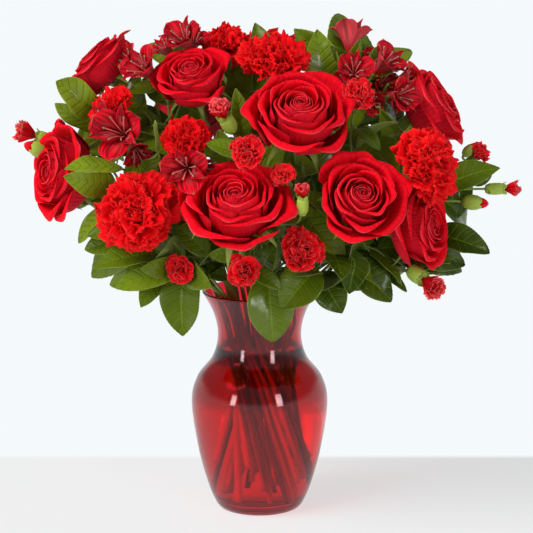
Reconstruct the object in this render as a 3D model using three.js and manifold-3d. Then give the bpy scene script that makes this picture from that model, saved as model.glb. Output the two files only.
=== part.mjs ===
// A bouquet of red roses, carnations, spray carnations and lilies with broad glossy leaves,
// standing in water in a red glass vase. Millimetres, +Z up, origin at the centre of the
// vase's underside. The front of the bouquet faces -Y.
import * as THREE from "three";
import { mergeVertices } from "three/addons/utils/BufferGeometryUtils.js";
import Module from "manifold-3d";

const wasm = await Module();
wasm.setup();

// ---- Driving dimensions ----------------------------------------------------------------------

const GAP = 0.3; // between pieces that touch
const HOLE_GAP = 0.42; // between a stem and the corners of its hole in the water
const VASE = {
  height: 203,
  foot: 36, // radius of the flat underside
  belly: 63, // widest radius
  bellyHeight: 98,
  neck: 38.4, // narrowest radius
  neckHeight: 163,
  rim: 52.5,
  wall: 3,
  floor: 8,
  bevel: 3, // between the floor and the wall inside
  lip: 1.2, // how far the rounded lip stands above the height
  sides: 24,
  rings: 9, // steps of the outline from foot to rim
};
const WATER_LEVEL = 152;
const STEM = { rose: 2.8, carnation: 2.1, branch: 1.2, branched: 2.1, leafy: 1.9 };
const STEM_SIDES = 4;
const STEM_STEPS = 4; // stretches of a stem between the neck and what it carries
const NECK_REACH = 30.5; // furthest that a stem's centre stands from the axis in the neck
const NECK_FLARE = 0.3; // how far out a stem at that reach heads as it leaves the neck
const FOOT_SPREAD = 1.85; // how much wider the stems stand at their cut ends
const FOOT_TWIST = 110; // degrees that the spiral of stems turns between neck and cut end
const FOOT_SWAY = 20; // degrees by which single stems leave that spiral
const FOOT_HEIGHTS = [10, 30, 14, 46, 22]; // above the table, one after another
const FOOT_CLEAR = 4; // between a cut end and the wall
const NECK_CLEAR = 1.3; // between the gatherings of stems in the neck
const STEM_CLEAR = 1; // between their stems below it
const PETAL = 0.7; // thickness of petals and leaves
const LEAF = 0.8;
const FRILL = 1; // the same at the edge of a toothed petal

// Blooms: the centre of each head, the way it faces (bearing from the front towards the right,
// and rise above level, in degrees), its radius, and its turn about its own axis.
const ROSES = [
  { name: "rose_centre_low", at: [-19, -125, 297], face: [-4, 54], radius: 49, turn: 20, open: 1 },
  { name: "rose_centre_high", at: [34, -98, 368], face: [3, 48], radius: 47, turn: 60, open: 0.6 },
  { name: "rose_right_front", at: [83, -120, 304], face: [10, 30], radius: 40, turn: 5, open: 0.7 },
  { name: "rose_left_high", at: [-56, -50, 396], face: [-18, 54], radius: 36, turn: 40, open: 0.5 },
  { name: "rose_right_low", at: [134, -62, 272], face: [58, 12], radius: 40, turn: 0, open: 0.6 },
  { name: "rose_right_high", at: [148, -8, 368], face: [74, 34], radius: 43, turn: 30, open: 0.6 },
  { name: "rose_left", at: [-168, -28, 314], face: [-60, 12], radius: 44, turn: 15, open: 0.6 },
  { name: "rose_left_top", at: [-137, 5, 404], face: [-88, 46], radius: 38, turn: 50, open: 0.6 },
  { name: "rose_back_left", at: [-62, 92, 352], face: [-150, 40], radius: 46, turn: 10, open: 0.8 },
  { name: "rose_back_right", at: [62, 96, 338], face: [155, 36], radius: 46, turn: 35, open: 0.8 },
];
const CARNATIONS = [
  { name: "carnation_left_low", at: [-103, -104, 292], face: [-22, 22], radius: 39, turn: 0 },
  { name: "carnation_top_left", at: [-30, 2, 428], face: [-8, 66], radius: 24, turn: 20 },
  { name: "carnation_top", at: [12, -38, 416], face: [2, 66], radius: 35, turn: 10 },
  { name: "carnation_right", at: [142, -90, 331], face: [46, 20], radius: 36, turn: 30 },
  { name: "carnation_mid_left", at: [-62, -84, 352], face: [-12, 34], radius: 23, turn: 5 },
  { name: "carnation_left_high", at: [-128, -42, 374], face: [-52, 34], radius: 24, turn: 15 },
  { name: "carnation_back", at: [0, 62, 412], face: [180, 62], radius: 37, turn: 0 },
];
const SPRAY_BLOOMS = [
  { name: "spray_bloom_1", kind: "bud", at: [-31, -108, 377], face: [-40, 50], radius: 13, turn: 0 },
  { name: "spray_bloom_2", at: [-9, -137, 347], face: [-5, 28], radius: 17, turn: 20 },
  { name: "spray_bloom_3", at: [85, -88, 389], face: [18, 42], radius: 18, turn: 40 },
  { name: "spray_bloom_4", kind: "bud", at: [36, -142, 314], face: [0, 74], radius: 9, turn: 0 },
  { name: "spray_bloom_5", at: [36, -128, 264], face: [14, 20], radius: 22, turn: 10 },
  { name: "spray_bloom_6", at: [-67, -95, 242], face: [-18, 6], radius: 15, turn: 0 },
  { name: "spray_bloom_7", at: [-12, -108, 242], face: [0, 6], radius: 17, turn: 15 },
  { name: "spray_bloom_8", kind: "bud", at: [-207, 2, 347], face: [-80, 24], radius: 14, turn: 0 },
  { name: "spray_bloom_9", kind: "bud", at: [221, -30, 302], face: [88, 2], radius: 10, turn: 0 },
  { name: "spray_bloom_10", at: [198, -12, 331], face: [60, 34], radius: 13, turn: 0 },
  { name: "spray_bloom_11", kind: "bud", at: [147, -78, 226], face: [44, -22], radius: 15, turn: 25 },
  { name: "spray_bloom_12", at: [20, -136, 328], face: [-6, 30], radius: 12, turn: 0 },
];
const LILIES = [
  { name: "lily_top_left", at: [-66, -22, 432], face: [-30, 46], radius: 20, turn: 0 },
  { name: "lily_left_high", at: [-99, -42, 408], face: [-44, 34], radius: 22, turn: 30 },
  { name: "lily_left", at: [-117, -84, 357], face: [-16, 16], radius: 27, turn: 10 },
  { name: "lily_mid_left", at: [-60, -125, 332], face: [-4, 4], radius: 22, turn: 40 },
  { name: "lily_top_right", at: [81, 8, 430], face: [176, 56], radius: 21, turn: 0 },
  { name: "lily_right_high", at: [83, -34, 405], face: [2, 26], radius: 19, turn: 20 },
  { name: "lily_right", at: [110, -22, 412], face: [50, 44], radius: 20, turn: 0 },
  { name: "lily_right_low", at: [122, -48, 386], face: [38, 8], radius: 18, turn: 30 },
];

// Stems of single blooms, gathered by where they stand: those of one gathering lean on one
// another in the neck.
const ROSE_STEMS = {
  rose_stems_front: ["rose_centre_low", "rose_centre_high", "rose_right_front"],
  rose_stems_left: ["rose_left", "rose_left_high", "rose_left_top"],
  rose_stems_right: ["rose_right_low", "rose_right_high"],
  rose_stems_back: ["rose_back_left", "rose_back_right"],
};
const CARNATION_STEMS = {
  carnation_stems_left: ["carnation_left_low", "carnation_mid_left", "carnation_left_high"],
  carnation_stems_right: ["carnation_right", "carnation_top"],
  carnation_stems_back: ["carnation_back", "carnation_top_left"],
};
// Branched stems: the fork that the main stem ends in, and the blooms that it carries.
const SPRAY_STEMS = {
  spray_stem_left: { fork: [-62, -52, 236], blooms: ["spray_bloom_6", "spray_bloom_8"] },
  spray_stem_centre: {
    fork: [-6, -62, 262],
    blooms: ["spray_bloom_1", "spray_bloom_2", "spray_bloom_4", "spray_bloom_7", "spray_bloom_12"],
  },
  spray_stem_right: {
    fork: [72, -52, 246],
    blooms: ["spray_bloom_3", "spray_bloom_5", "spray_bloom_9", "spray_bloom_10", "spray_bloom_11"],
  },
};
const LILY_STEMS = {
  lily_stem_left: { fork: [-74, -34, 330], blooms: ["lily_top_left", "lily_left_high", "lily_left"] },
  lily_stem_centre: { fork: [-36, -58, 300], blooms: ["lily_mid_left"] },
  lily_stem_right: {
    fork: [78, -12, 340],
    blooms: ["lily_top_right", "lily_right_high", "lily_right", "lily_right_low"],
  },
};

// Leafy branches: the points that the branch passes after the neck, and its leaves. A leaf leaves
// the branch at a share of its length, passes its knee, where the blade begins, and ends at its
// tip; face is the way its upper side looks, as for the blooms.
const BRANCHES = {
  leaves_left_high: {
    path: [[-66, -8, 270], [-116, -4, 346]],
    leaves: [
      { from: 1, knee: [-142, -12, 372], tip: [-178, -34, 397], width: 36, face: [-10, 20] },
      { from: 0.9, knee: [-142, -10, 350], tip: [-180, -26, 377], width: 25, face: [-12, 10] },
      { from: 0.75, knee: [-92, -62, 316], tip: [-94, -92, 368], width: 17, face: [-10, 30] },
    ],
  },
  leaves_left: {
    path: [[-70, -44, 262], [-104, -64, 300]],
    leaves: [
      { from: 1, knee: [-116, -78, 326], tip: [-166, -84, 326], width: 24, face: [-4, 50] },
      { from: 0.9, knee: [-122, -76, 308], tip: [-166, -90, 321], width: 27, face: [-8, 6] },
      { from: 0.8, knee: [-130, -58, 290], tip: [-158, -56, 257], width: 18, face: [-20, 30] },
      { from: 0.7, knee: [-112, -52, 262], tip: [-154, -48, 250], width: 25, face: [-20, 20] },
    ],
  },
  leaves_left_low: {
    path: [[-52, -50, 232], [-78, -60, 252]],
    leaves: [
      { from: 1, knee: [-86, -72, 250], tip: [-143, -88, 241], width: 30, face: [-16, 50] },
      { from: 0.9, knee: [-84, -52, 230], tip: [-104, -64, 201], width: 23, face: [-20, 10] },
      { from: 0.8, knee: [-66, -74, 238], tip: [-66, -84, 180], width: 38, face: [-14, 14] },
      { from: 0.7, knee: [-44, -72, 250], tip: [-78, -66, 280], width: 22, face: [-10, 30] },
    ],
  },
  leaves_front: {
    path: [[4, -46, 218], [30, -62, 248]],
    leaves: [
      { from: 0.75, knee: [8, -66, 230], tip: [12, -76, 173], width: 43, face: [2, 8] },
      { from: 0.85, knee: [50, -80, 240], tip: [20, -94, 206], width: 40, face: [0, 30] },
      { from: 0.8, knee: [2, -76, 238], tip: [14, -96, 262], width: 24, face: [-6, 20] },
      { from: 1, knee: [36, -84, 290], tip: [72, -98, 246], width: 32, face: [8, 20] },
    ],
  },
  leaves_right_low: {
    path: [[48, -38, 226], [78, -50, 246]],
    leaves: [
      { from: 0.7, knee: [54, -52, 226], tip: [73, -64, 196], width: 32, face: [10, 0] },
      { from: 0.85, knee: [84, -76, 256], tip: [77, -92, 219], width: 27, face: [8, 20] },
      { from: 0.9, knee: [80, -58, 238], tip: [116, -66, 207], width: 34, face: [14, 30] },
      { from: 1, knee: [100, -52, 236], tip: [130, -58, 214], width: 13, face: [20, 40] },
    ],
  },
  leaves_right: {
    path: [[84, -24, 250], [138, -34, 300]],
    leaves: [
      { from: 1, knee: [158, -38, 304], tip: [211, -44, 322], width: 30, face: [18, 40] },
      { from: 0.8, knee: [150, -34, 262], tip: [204, -44, 246], width: 30, face: [20, 36] },
      { from: 0.7, knee: [146, -22, 250], tip: [170, -40, 236], width: 20, face: [20, 10] },
      { from: 0.9, knee: [118, -38, 334], tip: [114, -52, 384], width: 24, face: [10, 10] },
    ],
  },
  leaves_top: {
    path: [[16, -10, 290], [34, -28, 366]],
    leaves: [
      { from: 1, knee: [60, -14, 392], tip: [51, -8, 441], width: 32, face: [-6, 14] },
      { from: 0.95, knee: [6, 10, 404], tip: [-4, 10, 446], width: 28, face: [-4, 10] },
      { from: 0.85, knee: [90, -58, 346], tip: [124, -80, 314], width: 42, face: [8, 28] },
      { from: 0.8, knee: [-14, -58, 348], tip: [-20, -72, 394], width: 19, face: [10, 20] },
      { from: 0.7, knee: [-20, -66, 312], tip: [-34, -84, 360], width: 25, face: [-8, 20] },
    ],
  },
  leaves_back: {
    path: [[0, 46, 270], [4, 74, 338]],
    leaves: [
      { from: 0.75, knee: [-28, 84, 282], tip: [-76, 116, 262], width: 36, face: [-160, 40] },
      { from: 0.8, knee: [30, 88, 272], tip: [78, 118, 252], width: 36, face: [160, 40] },
      { from: 0.85, knee: [2, 104, 300], tip: [4, 132, 250], width: 38, face: [180, 30] },
      { from: 0.95, knee: [-30, 60, 380], tip: [-92, 56, 424], width: 34, face: [-160, 50] },
      { from: 0.95, knee: [44, 52, 374], tip: [104, 54, 412], width: 36, face: [160, 50] },
      { from: 0.5, knee: [-44, 56, 250], tip: [-86, 92, 214], width: 34, face: [-150, 30] },
      { from: 0.5, knee: [46, 60, 246], tip: [92, 84, 216], width: 34, face: [150, 30] },
      { from: 0.6, knee: [2, 68, 240], tip: [-2, 88, 190], width: 38, face: [180, 10] },
      { from: 0.7, knee: [-66, 44, 318], tip: [-128, 60, 336], width: 36, face: [-140, 30] },
      { from: 0.7, knee: [70, 44, 310], tip: [134, 56, 322], width: 36, face: [140, 30] },
      { from: 0.45, knee: [-60, 30, 256], tip: [-118, 44, 244], width: 34, face: [-130, 30] },
      { from: 0.45, knee: [60, 32, 252], tip: [116, 40, 236], width: 34, face: [130, 30] },
      { from: 1, knee: [2, 98, 352], tip: [2, 112, 398], width: 30, face: [180, 20] },
    ],
  },
};

// ---- Materials -------------------------------------------------------------------------------

function finish(color, roughness, more = {}) {
  return new THREE.MeshStandardMaterial({ color, roughness, metalness: 0, ...more });
}
const RED_GLASS = finish(0xb01020, 0.05, { transparent: true, opacity: 0.55 });
const CLEAR_WATER = finish(0xc8d8dc, 0.05, { transparent: true, opacity: 0.3 });
const ROSE_RED = finish(0xb80318, 0.6);
const CARNATION_RED = finish(0xd80a14, 0.75);
const LILY_RED = finish(0xb81428, 0.55);
const STEM_GREEN = finish(0x5f7a2c, 0.6);
const LEAF_GREEN = finish(0x35601a, 0.4);

// ---- Solids ----------------------------------------------------------------------------------

const v3 = (p) => new THREE.Vector3(...p);
const radians = THREE.MathUtils.degToRad;

// A unit vector from a bearing and a rise in degrees.
function facing([bearing, rise]) {
  const b = radians(bearing);
  const r = radians(rise);
  return new THREE.Vector3(Math.sin(b) * Math.cos(r), -Math.cos(b) * Math.cos(r), Math.sin(r));
}

function solidFrom(positions, triangles) {
  return new wasm.Manifold(
    new wasm.Mesh({
      numProp: 3,
      vertProperties: new Float32Array(positions),
      triVerts: new Uint32Array(triangles),
    }),
  );
}

// A closed three.js geometry as a solid.
function solidOf(geometry) {
  const bare = geometry.index ? geometry.toNonIndexed() : geometry;
  bare.deleteAttribute("normal");
  bare.deleteAttribute("uv");
  const merged = mergeVertices(bare, 1e-4);
  return solidFrom(merged.attributes.position.array, merged.index.array);
}

function geometryOf(solid) {
  const mesh = solid.getMesh();
  const geometry = new THREE.BufferGeometry();
  geometry.setAttribute("position", new THREE.BufferAttribute(mesh.vertProperties, mesh.numProp));
  geometry.setIndex(new THREE.BufferAttribute(mesh.triVerts, 1));
  const split = geometry.toNonIndexed();
  split.computeVertexNormals();
  return split;
}

function fuse(solids) {
  return wasm.Manifold.union(solids);
}

// A thin closed blade over rows of points, the same triangles on both faces.
function blade(rows, thickness) {
  const across = rows[0].length;
  const along = rows.length;
  const clamp = THREE.MathUtils.clamp;
  const upper = [];
  const lower = [];
  rows.forEach((row, i) =>
    row.forEach((point, j) => {
      const across1 = row[clamp(j + 1, 0, across - 1)].clone();
      const along1 = rows[clamp(i + 1, 0, along - 1)][j].clone();
      const alongRow = across1.sub(row[clamp(j - 1, 0, across - 1)]);
      const alongBlade = along1.sub(rows[clamp(i - 1, 0, along - 1)][j]);
      const half = alongRow.cross(alongBlade).normalize().multiplyScalar(thickness / 2);
      upper.push(...point.clone().add(half).toArray());
      lower.push(...point.clone().sub(half).toArray());
    }),
  );
  const under = across * along;
  const triangles = [];
  const index = (i, j) => i * across + j;
  for (let i = 0; i < along - 1; i++)
    for (let j = 0; j < across - 1; j++) {
      const [a, b, c, d] = [index(i, j), index(i, j + 1), index(i + 1, j + 1), index(i + 1, j)];
      const faces = (i + j) % 2 ? [a, b, c, a, c, d] : [a, b, d, b, c, d];
      triangles.push(...faces);
      triangles.push(...faces.map((n) => n + under).reverse());
    }
  const edge = [];
  for (let j = 0; j < across; j++) edge.push(index(0, j));
  for (let i = 1; i < along; i++) edge.push(index(i, across - 1));
  for (let j = across - 2; j >= 0; j--) edge.push(index(along - 1, j));
  for (let i = along - 2; i > 0; i--) edge.push(index(i, 0));
  edge.forEach((a, n) => {
    const b = edge[(n + 1) % edge.length];
    triangles.push(a, a + under, b, b, a + under, b + under);
  });
  return solidFrom([...upper, ...lower], triangles);
}

// A round solid about +Z from [radius, height] pairs that start and end on the axis.
function turned(profile, sides) {
  const points = profile.map(([r, z]) => new THREE.Vector2(r, z));
  return solidOf(new THREE.LatheGeometry(points, sides).rotateX(Math.PI / 2));
}

// A path that runs straight from each of its points to the next.
class Waypoints extends THREE.Curve {
  constructor(points) {
    super();
    this.points = points;
  }
  getPointAt(share) {
    return this.points[Math.round(share * (this.points.length - 1))].clone();
  }
  getTangentAt(share) {
    const last = this.points.length - 1;
    const n = Math.round(share * last);
    const before = this.points[Math.max(0, n - 1)];
    const here = this.points[n];
    const after = this.points[Math.min(last, n + 1)];
    const arriving = here.clone().sub(before).normalize();
    const leaving = after.clone().sub(here).normalize();
    return arriving.add(leaving).normalize();
  }
}

function tube(points, radius) {
  const corners = [];
  for (let i = 0; i < STEM_SIDES; i++) {
    const turn = (i / STEM_SIDES) * 2 * Math.PI;
    corners.push(new THREE.Vector2(Math.cos(turn) * radius, Math.sin(turn) * radius));
  }
  const extrudePath = new Waypoints(points);
  const steps = points.length - 1;
  const shape = new THREE.Shape(corners);
  return solidOf(new THREE.ExtrudeGeometry(shape, { steps, bevelEnabled: false, extrudePath }));
}

// The frame that sets a head's own +Z along the way it faces, at its seat.
function headFrame(seat, face, turn = 0) {
  const spin = new THREE.Quaternion().setFromAxisAngle(new THREE.Vector3(0, 0, 1), radians(turn));
  const aim = new THREE.Quaternion().setFromUnitVectors(new THREE.Vector3(0, 0, 1), facing(face));
  return new THREE.Matrix4().compose(seat, aim.multiply(spin), new THREE.Vector3(1, 1, 1));
}

function placed(solid, matrix) {
  return solid.transform(matrix.elements);
}

// ---- Vase and water --------------------------------------------------------------------------

// The vase's outline from foot to rim as [radius, height] pairs along one smooth curve.
function vaseOutline(steps) {
  const { foot, belly, bellyHeight, neck, neckHeight, rim, height } = VASE;
  const keys = [
    [foot + 5, 4],
    [foot + 12, 21],
    [belly - 6, 55],
    [belly, bellyHeight],
    [belly - 5, 122],
    [neck + 5, 142],
    [neck, neckHeight],
    [neck + 4, 184],
    [rim, height],
  ];
  const curve = new THREE.SplineCurve(keys.map(([r, z]) => new THREE.Vector2(r, z)));
  return curve.getPoints(steps).map((p) => [p.x, p.y]);
}

// The radius of the vase's outside at a height.
function vaseRadius(height) {
  const outline = vaseOutline(VASE.rings);
  const n = outline.findIndex(([, z]) => z >= height);
  const [r0, z0] = outline[n - 1];
  const [r1, z1] = outline[n];
  return r0 + ((r1 - r0) * (height - z0)) / (z1 - z0);
}

// The inside of the vase from the bottom up, drawn in by the wall or by the wall and a gap. Its
// bottom corner is cut off by the bevel.
function vaseInside(inset, bottom, top) {
  const { rings, bevel } = VASE;
  const between = vaseOutline(rings).filter(([, z]) => z > bottom + bevel + 1 && z < top - 1);
  return [
    [vaseRadius(bottom + bevel) - inset - bevel, bottom],
    ...between.map(([r, z]) => [r - inset, z]),
    [vaseRadius(top) - inset, top],
  ];
}

function vase() {
  const { foot, rim, wall, height, floor, lip, sides, rings } = VASE;
  const inside = vaseInside(wall, floor, height - 1);
  const profile = [
    [0, 0],
    [foot, 0],
    ...vaseOutline(rings),
    [rim - wall / 2, height + lip],
    ...inside.reverse(),
    [0, floor],
  ];
  return turned(profile, sides);
}

// The water fills the vase to its level, with a plain hole round each stem.
function water(holes) {
  const bottom = VASE.floor + GAP;
  const side = vaseInside(VASE.wall + GAP, bottom, WATER_LEVEL);
  const body = turned([[0, bottom], ...side, [0, WATER_LEVEL]], VASE.sides);
  return body.subtract(fuse(holes));
}

// ---- Blooms: each stands on its own origin and faces +Z --------------------------------------

// A point on the curve that leaves the first of four [radius, height] pairs for the last.
function sideCurve(points, t) {
  const [p0, p1, p2, p3] = points.map(([r, z]) => new THREE.Vector2(r, z));
  return new THREE.CubicBezierCurve(p0, p1, p2, p3).getPoint(t);
}

// A cupped petal round the head's axis, whose side view follows a curve. Towards its tip the
// petal's corners are drawn back by `point`, and `lean` sets one edge outside the next petal.
function cupPetal({ side, phi, half, across, along, lean, point, root }) {
  const rows = [];
  for (let i = 0; i <= along; i++) {
    const row = [];
    for (let j = 0; j <= across; j++) {
      const a = (2 * j) / across - 1;
      const t = (i / along) * (1 - point * Math.pow(Math.abs(a), 1.6));
      const at = sideCurve(side, t);
      const spread = half * (root + (1 - root) * Math.sin((Math.min(1, t * 1.3) * Math.PI) / 2));
      const turn = phi + a * spread;
      const reach = at.x + lean * a;
      row.push(new THREE.Vector3(Math.cos(turn) * reach, Math.sin(turn) * reach, at.y));
    }
    rows.push(row);
  }
  return blade(rows, PETAL);
}

// A rose: a wound bud, a ring of upright petals and a ring of wide ones that curl back.
function roseBloom({ radius, open }) {
  const tall = radius * (1.1 - 0.25 * open);
  const scaled = (pairs) => pairs.map(([r, z]) => [r * radius, z * tall]);
  const bud = turned(
    [
      [0, GAP],
      [0.16 * radius, GAP],
      ...scaled([
        [0.4, 0.36],
        [0.2, 0.98],
        [0, 0.8],
      ]),
    ],
    5,
  );
  const ring = (count, first, petal) => {
    const lean = 0.07 * radius;
    const turns = Array.from({ length: count }, (_, i) => radians(first + (360 / count) * i));
    return turns.map((phi) => cupPetal({ phi, lean, ...petal, side: scaled(petal.side) }));
  };
  const upright = {
    side: [
      [0.28, 0.24],
      [0.7, 0.3],
      [0.58, 0.7],
      [0.62 + 0.08 * open, 0.93],
    ],
    half: radians(62),
    across: 2,
    along: 2,
    point: 0.14,
    root: 0.3,
  };
  const wide = {
    side: [
      [0.26, 0.14],
      [0.88, 0.16],
      [0.74 + 0.1 * open, 0.86],
      [1, 0.74 - 0.14 * open],
    ],
    half: radians(40),
    across: 2,
    along: 2,
    point: 0.22,
    root: 0.2,
  };
  return fuse([bud, ...ring(3, 50, upright), ...ring(5, 10, wide)]);
}

// A closed skin over rings of points about the axis, from a point at its bottom to one on top.
function ringedSolid(bottom, rings, top) {
  const count = rings[0].length;
  const positions = [bottom, ...rings.flat(), top].flatMap((point) => point.toArray());
  const triangles = [];
  const index = (ring, n) => 1 + ring * count + (n % count);
  const last = 1 + rings.length * count;
  for (let n = 0; n < count; n++) {
    triangles.push(0, index(0, n + 1), index(0, n));
    for (let ring = 0; ring < rings.length - 1; ring++) {
      const [a, b] = [index(ring, n), index(ring, n + 1)];
      const [c, d] = [index(ring + 1, n + 1), index(ring + 1, n)];
      triangles.push(a, b, c, a, c, d);
    }
    triangles.push(last, index(rings.length - 1, n), index(rings.length - 1, n + 1));
  }
  return solidFrom(positions, triangles);
}

// A head of petals in layers, one above another, with toothed edges that wave up and down. Each
// layer leaves the head's middle at its root and ends at its rim, both [radius, height] pairs.
// `edge` is the outline of one petal's edge, from the notch between two petals to the next.
function frilledBloom({ radius, layered }, { petals, edge, crown, ...form }) {
  const layers = form.layers.slice(0, layered); // all of them where layered isn't given
  const count = petals * edge.length;
  const ring = (turn, pointAt) =>
    Array.from({ length: count }, (_, n) => {
      const angle = ((n + turn) / count) * 2 * Math.PI;
      const [r, z] = pointAt(edge[n % edge.length], n % 2 ? 1 : -1);
      return new THREE.Vector3(Math.cos(angle) * r, Math.sin(angle) * r, z);
    });
  const rings = [ring(0, () => [0.14 * radius, GAP])];
  layers.forEach(({ root, rim }, layer) => {
    const turn = (layer * edge.length) / 2;
    const [rise, run] = [rim[1] - root[1], rim[0] - root[0]];
    const slope = Math.atan2(rise, run);
    const thick = [-Math.sin(slope) * FRILL, Math.cos(slope) * FRILL];
    const onEdge = (lift) => (share, side) => {
      const wave = 0.045 * side * radius;
      return [
        (root[0] + run * share) * radius - Math.sin(slope) * wave + thick[0] * lift,
        (root[1] + rise * share) * radius + Math.cos(slope) * wave + thick[1] * lift,
      ];
    };
    rings.push(ring(turn, () => [root[0] * radius, root[1] * radius]));
    rings.push(ring(turn, onEdge(0)), ring(turn, onEdge(1)));
  });
  const top = new THREE.Vector3(0, 0, crown * radius);
  return ringedSolid(new THREE.Vector3(0, 0, GAP), rings, top);
}
const CARNATION = {
  petals: 6,
  edge: [0.5, 0.97, 1],
  layers: [
    { root: [0.24, 0.2], rim: [1.02, 0.36] },
    { root: [0.42, 0.5], rim: [0.82, 0.74] },
    { root: [0.26, 0.72], rim: [0.46, 0.98] },
  ],
  crown: 0.74,
};
const SPRAY = {
  petals: 5,
  edge: [0.45, 1],
  layers: [
    { root: [0.26, 0.3], rim: [1.06, 0.58] },
    { root: [0.34, 0.66], rim: [0.66, 1.02] },
  ],
  crown: 0.7,
};

// A small bloom half out of its cup.
const BUD = {
  petals: 5,
  edge: [0.55, 1],
  layers: [{ root: [0.5, 0.5], rim: [0.98, 1.35] }],
  crown: 1.1,
};
// Three broad petals and three narrow ones between them, flared from a funnel.
const LILY = {
  petals: 3,
  edge: [0.25, 0.96, 1, 0.25, 0.9],
  layers: [{ root: [0.34, 0.75], rim: [1, 1.4] }],
  crown: 0.7,
};

// ---- Kinds of bloom: what stands under the head, and how far its middle is above the seat -----

// cup is [share of the head's radius, depth]; half is half the head's height as such a share.
const KINDS = {
  rose: { centre: 0.42, cup: [0.15, 13], half: 0.6 },
  carnation: { centre: 0.42, cup: [0.13, 24], half: 0.6 },
  spray: { centre: 0.5, cup: [0.2, 12], half: 0.7 },
  bud: { centre: 0.6, cup: [0.42, 15], half: 0.9 },
  lily: { centre: 0.85, half: 0.85 },
};

function seatOf(bloom) {
  const { centre } = KINDS[bloom.kind];
  return v3(bloom.at).addScaledVector(facing(bloom.face), -centre * bloom.radius);
}

function cupWidth(bloom) {
  return KINDS[bloom.kind].cup[0] * bloom.radius + 1;
}

// The last stretch of a stem: where it ends, and the cup on it if its head has one.
function stemEnd(bloom) {
  const { cup } = KINDS[bloom.kind];
  const seat = seatOf(bloom);
  const end = seat.clone().addScaledVector(facing(bloom.face), cup ? -0.5 * cup[1] : -2 * GAP);
  if (!cup) return { end, solids: [], stretches: [] };
  const outline = [
    [0, -cup[1]],
    [cupWidth(bloom), -0.4 * cup[1]],
    [cupWidth(bloom), 0],
    [0, 0],
  ];
  const solid = placed(turned(outline, STEM_SIDES), headFrame(seat, bloom.face));
  return { end, solids: [solid], stretches: [[[end, seat], cupWidth(bloom)]] };
}

// ---- Bending clear ---------------------------------------------------------------------------

const HEAD_CLEAR = 1.5; // between a head and the side of a stem or leaf
const RIM_FLARE = 0.22; // how fast the room in the vase's neck widens with height
const RIM_RINGS = [
  [0, 0],
  [4.95, 11],
]; // how far inward and how far down each laid ring of the lip stands
const MOST_ROUNDS = 80;
const NUDGE = 0.6; // share of an overlap that each round takes out
const LEAST_NUDGE = 0.05;

// Each head is a flattened ball that stems and leaves go round. A point inside one moves out to
// its surface the short way.
function giveWay(point, blooms, margin) {
  for (const bloom of blooms) {
    const axis = facing(bloom.face);
    const offset = point.clone().sub(v3(bloom.at));
    const high = offset.dot(axis);
    const out = offset.clone().addScaledVector(axis, -high);
    const tall = KINDS[bloom.kind].half * bloom.radius + margin;
    const wide = 1.05 * bloom.radius + margin;
    const depth = Math.hypot(high / tall, out.length() / wide);
    if (depth >= 1) continue;
    const away = out
      .divideScalar(wide * wide)
      .addScaledVector(axis, high / (tall * tall))
      .normalize();
    point.addScaledVector(away, (1 - depth) * Math.min(tall, wide));
  }
  return point;
}

// A point that starts inside the vase stays inside the flare of its neck.
function keepInRim(point, radius) {
  const { neck, neckHeight, wall, height, rim } = VASE;
  const reach = neck - wall - radius - 1 + RIM_FLARE * Math.max(0, point.z - neckHeight);
  const out = Math.hypot(point.x, point.y);
  if (point.z > height || out <= reach || out > rim) return;
  point.x *= reach / out;
  point.y *= reach / out;
}

// Every stretch of stem or leaf that is laid, for the later ones to keep clear of.
const laid = [];

// Moves the free points of a shape until each of its edges clears what was laid before it and
// the heads. Edges are pairs of places in the list of points.
function bendClear({ points, edges, free, radius, blooms }) {
  const mine = new THREE.Vector3();
  const theirs = new THREE.Vector3();
  const margin = radius + HEAD_CLEAR;
  for (let round = 0; round < MOST_ROUNDS; round++) {
    let moved = false;
    for (const pair of edges)
      for (const other of laid) {
        const edge = new THREE.Line3(points[pair[0]], points[pair[1]]);
        const apart = Math.sqrt(edge.distanceSqToLine3(other.line, mine, theirs));
        const short = radius + other.radius + 2 * GAP - apart;
        if (short <= 0) continue;
        const away = mine.sub(theirs).normalize().multiplyScalar(NUDGE * short + LEAST_NUDGE);
        pair.filter(free).forEach((n) => points[n].add(away));
        moved = true;
      }
    const loose = points.filter((_, n) => free(n));
    loose.forEach((point) => giveWay(point, blooms, margin));
    edges.forEach((pair) => {
      const middle = points[pair[0]].clone().add(points[pair[1]]).multiplyScalar(0.5);
      const push = giveWay(middle.clone(), blooms, margin).sub(middle);
      pair.filter(free).forEach((n) => points[n].add(push));
    });
    loose.forEach((point) => keepInRim(point, radius));
    if (!moved) break;
  }
  return points;
}

// The lip of the vase, as stretches round its rim and round the flare below it.
function layRim() {
  const { rim, height, wall, sides } = VASE;
  const turns = Array.from({ length: sides + 1 }, (_, n) => (n / sides) * 2 * Math.PI);
  RIM_RINGS.forEach(([inward, drop]) => {
    const out = rim - wall / 2 - inward;
    const ring = turns.map((t) => new THREE.Vector3(Math.cos(t) * out, Math.sin(t) * out, height - drop));
    lay(ring, chain(ring), wall);
  });
}

function lay(points, edges, radius) {
  edges.forEach(([a, b]) => laid.push({ line: new THREE.Line3(points[a], points[b]), radius }));
}

// ---- Stems -----------------------------------------------------------------------------------

const CLUSTER = { ring: 0.88, width: 1.85 }; // how stems that lean together stand, in stem radii
const LEAN = 0.2; // share of its length below the neck that a stem leans on its neighbours
const NEAR_ENOUGH = 0.02;
const LEAST_LEVER = 0.3; // share of its length that a stem is at least turned by
const BEND = { leaving: 0.42, arriving: 0.36 }; // shares of its reach that a stem holds its heading
const NECK_ROUNDS = 500;
const FOOT_ROUNDS = 400;

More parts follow.
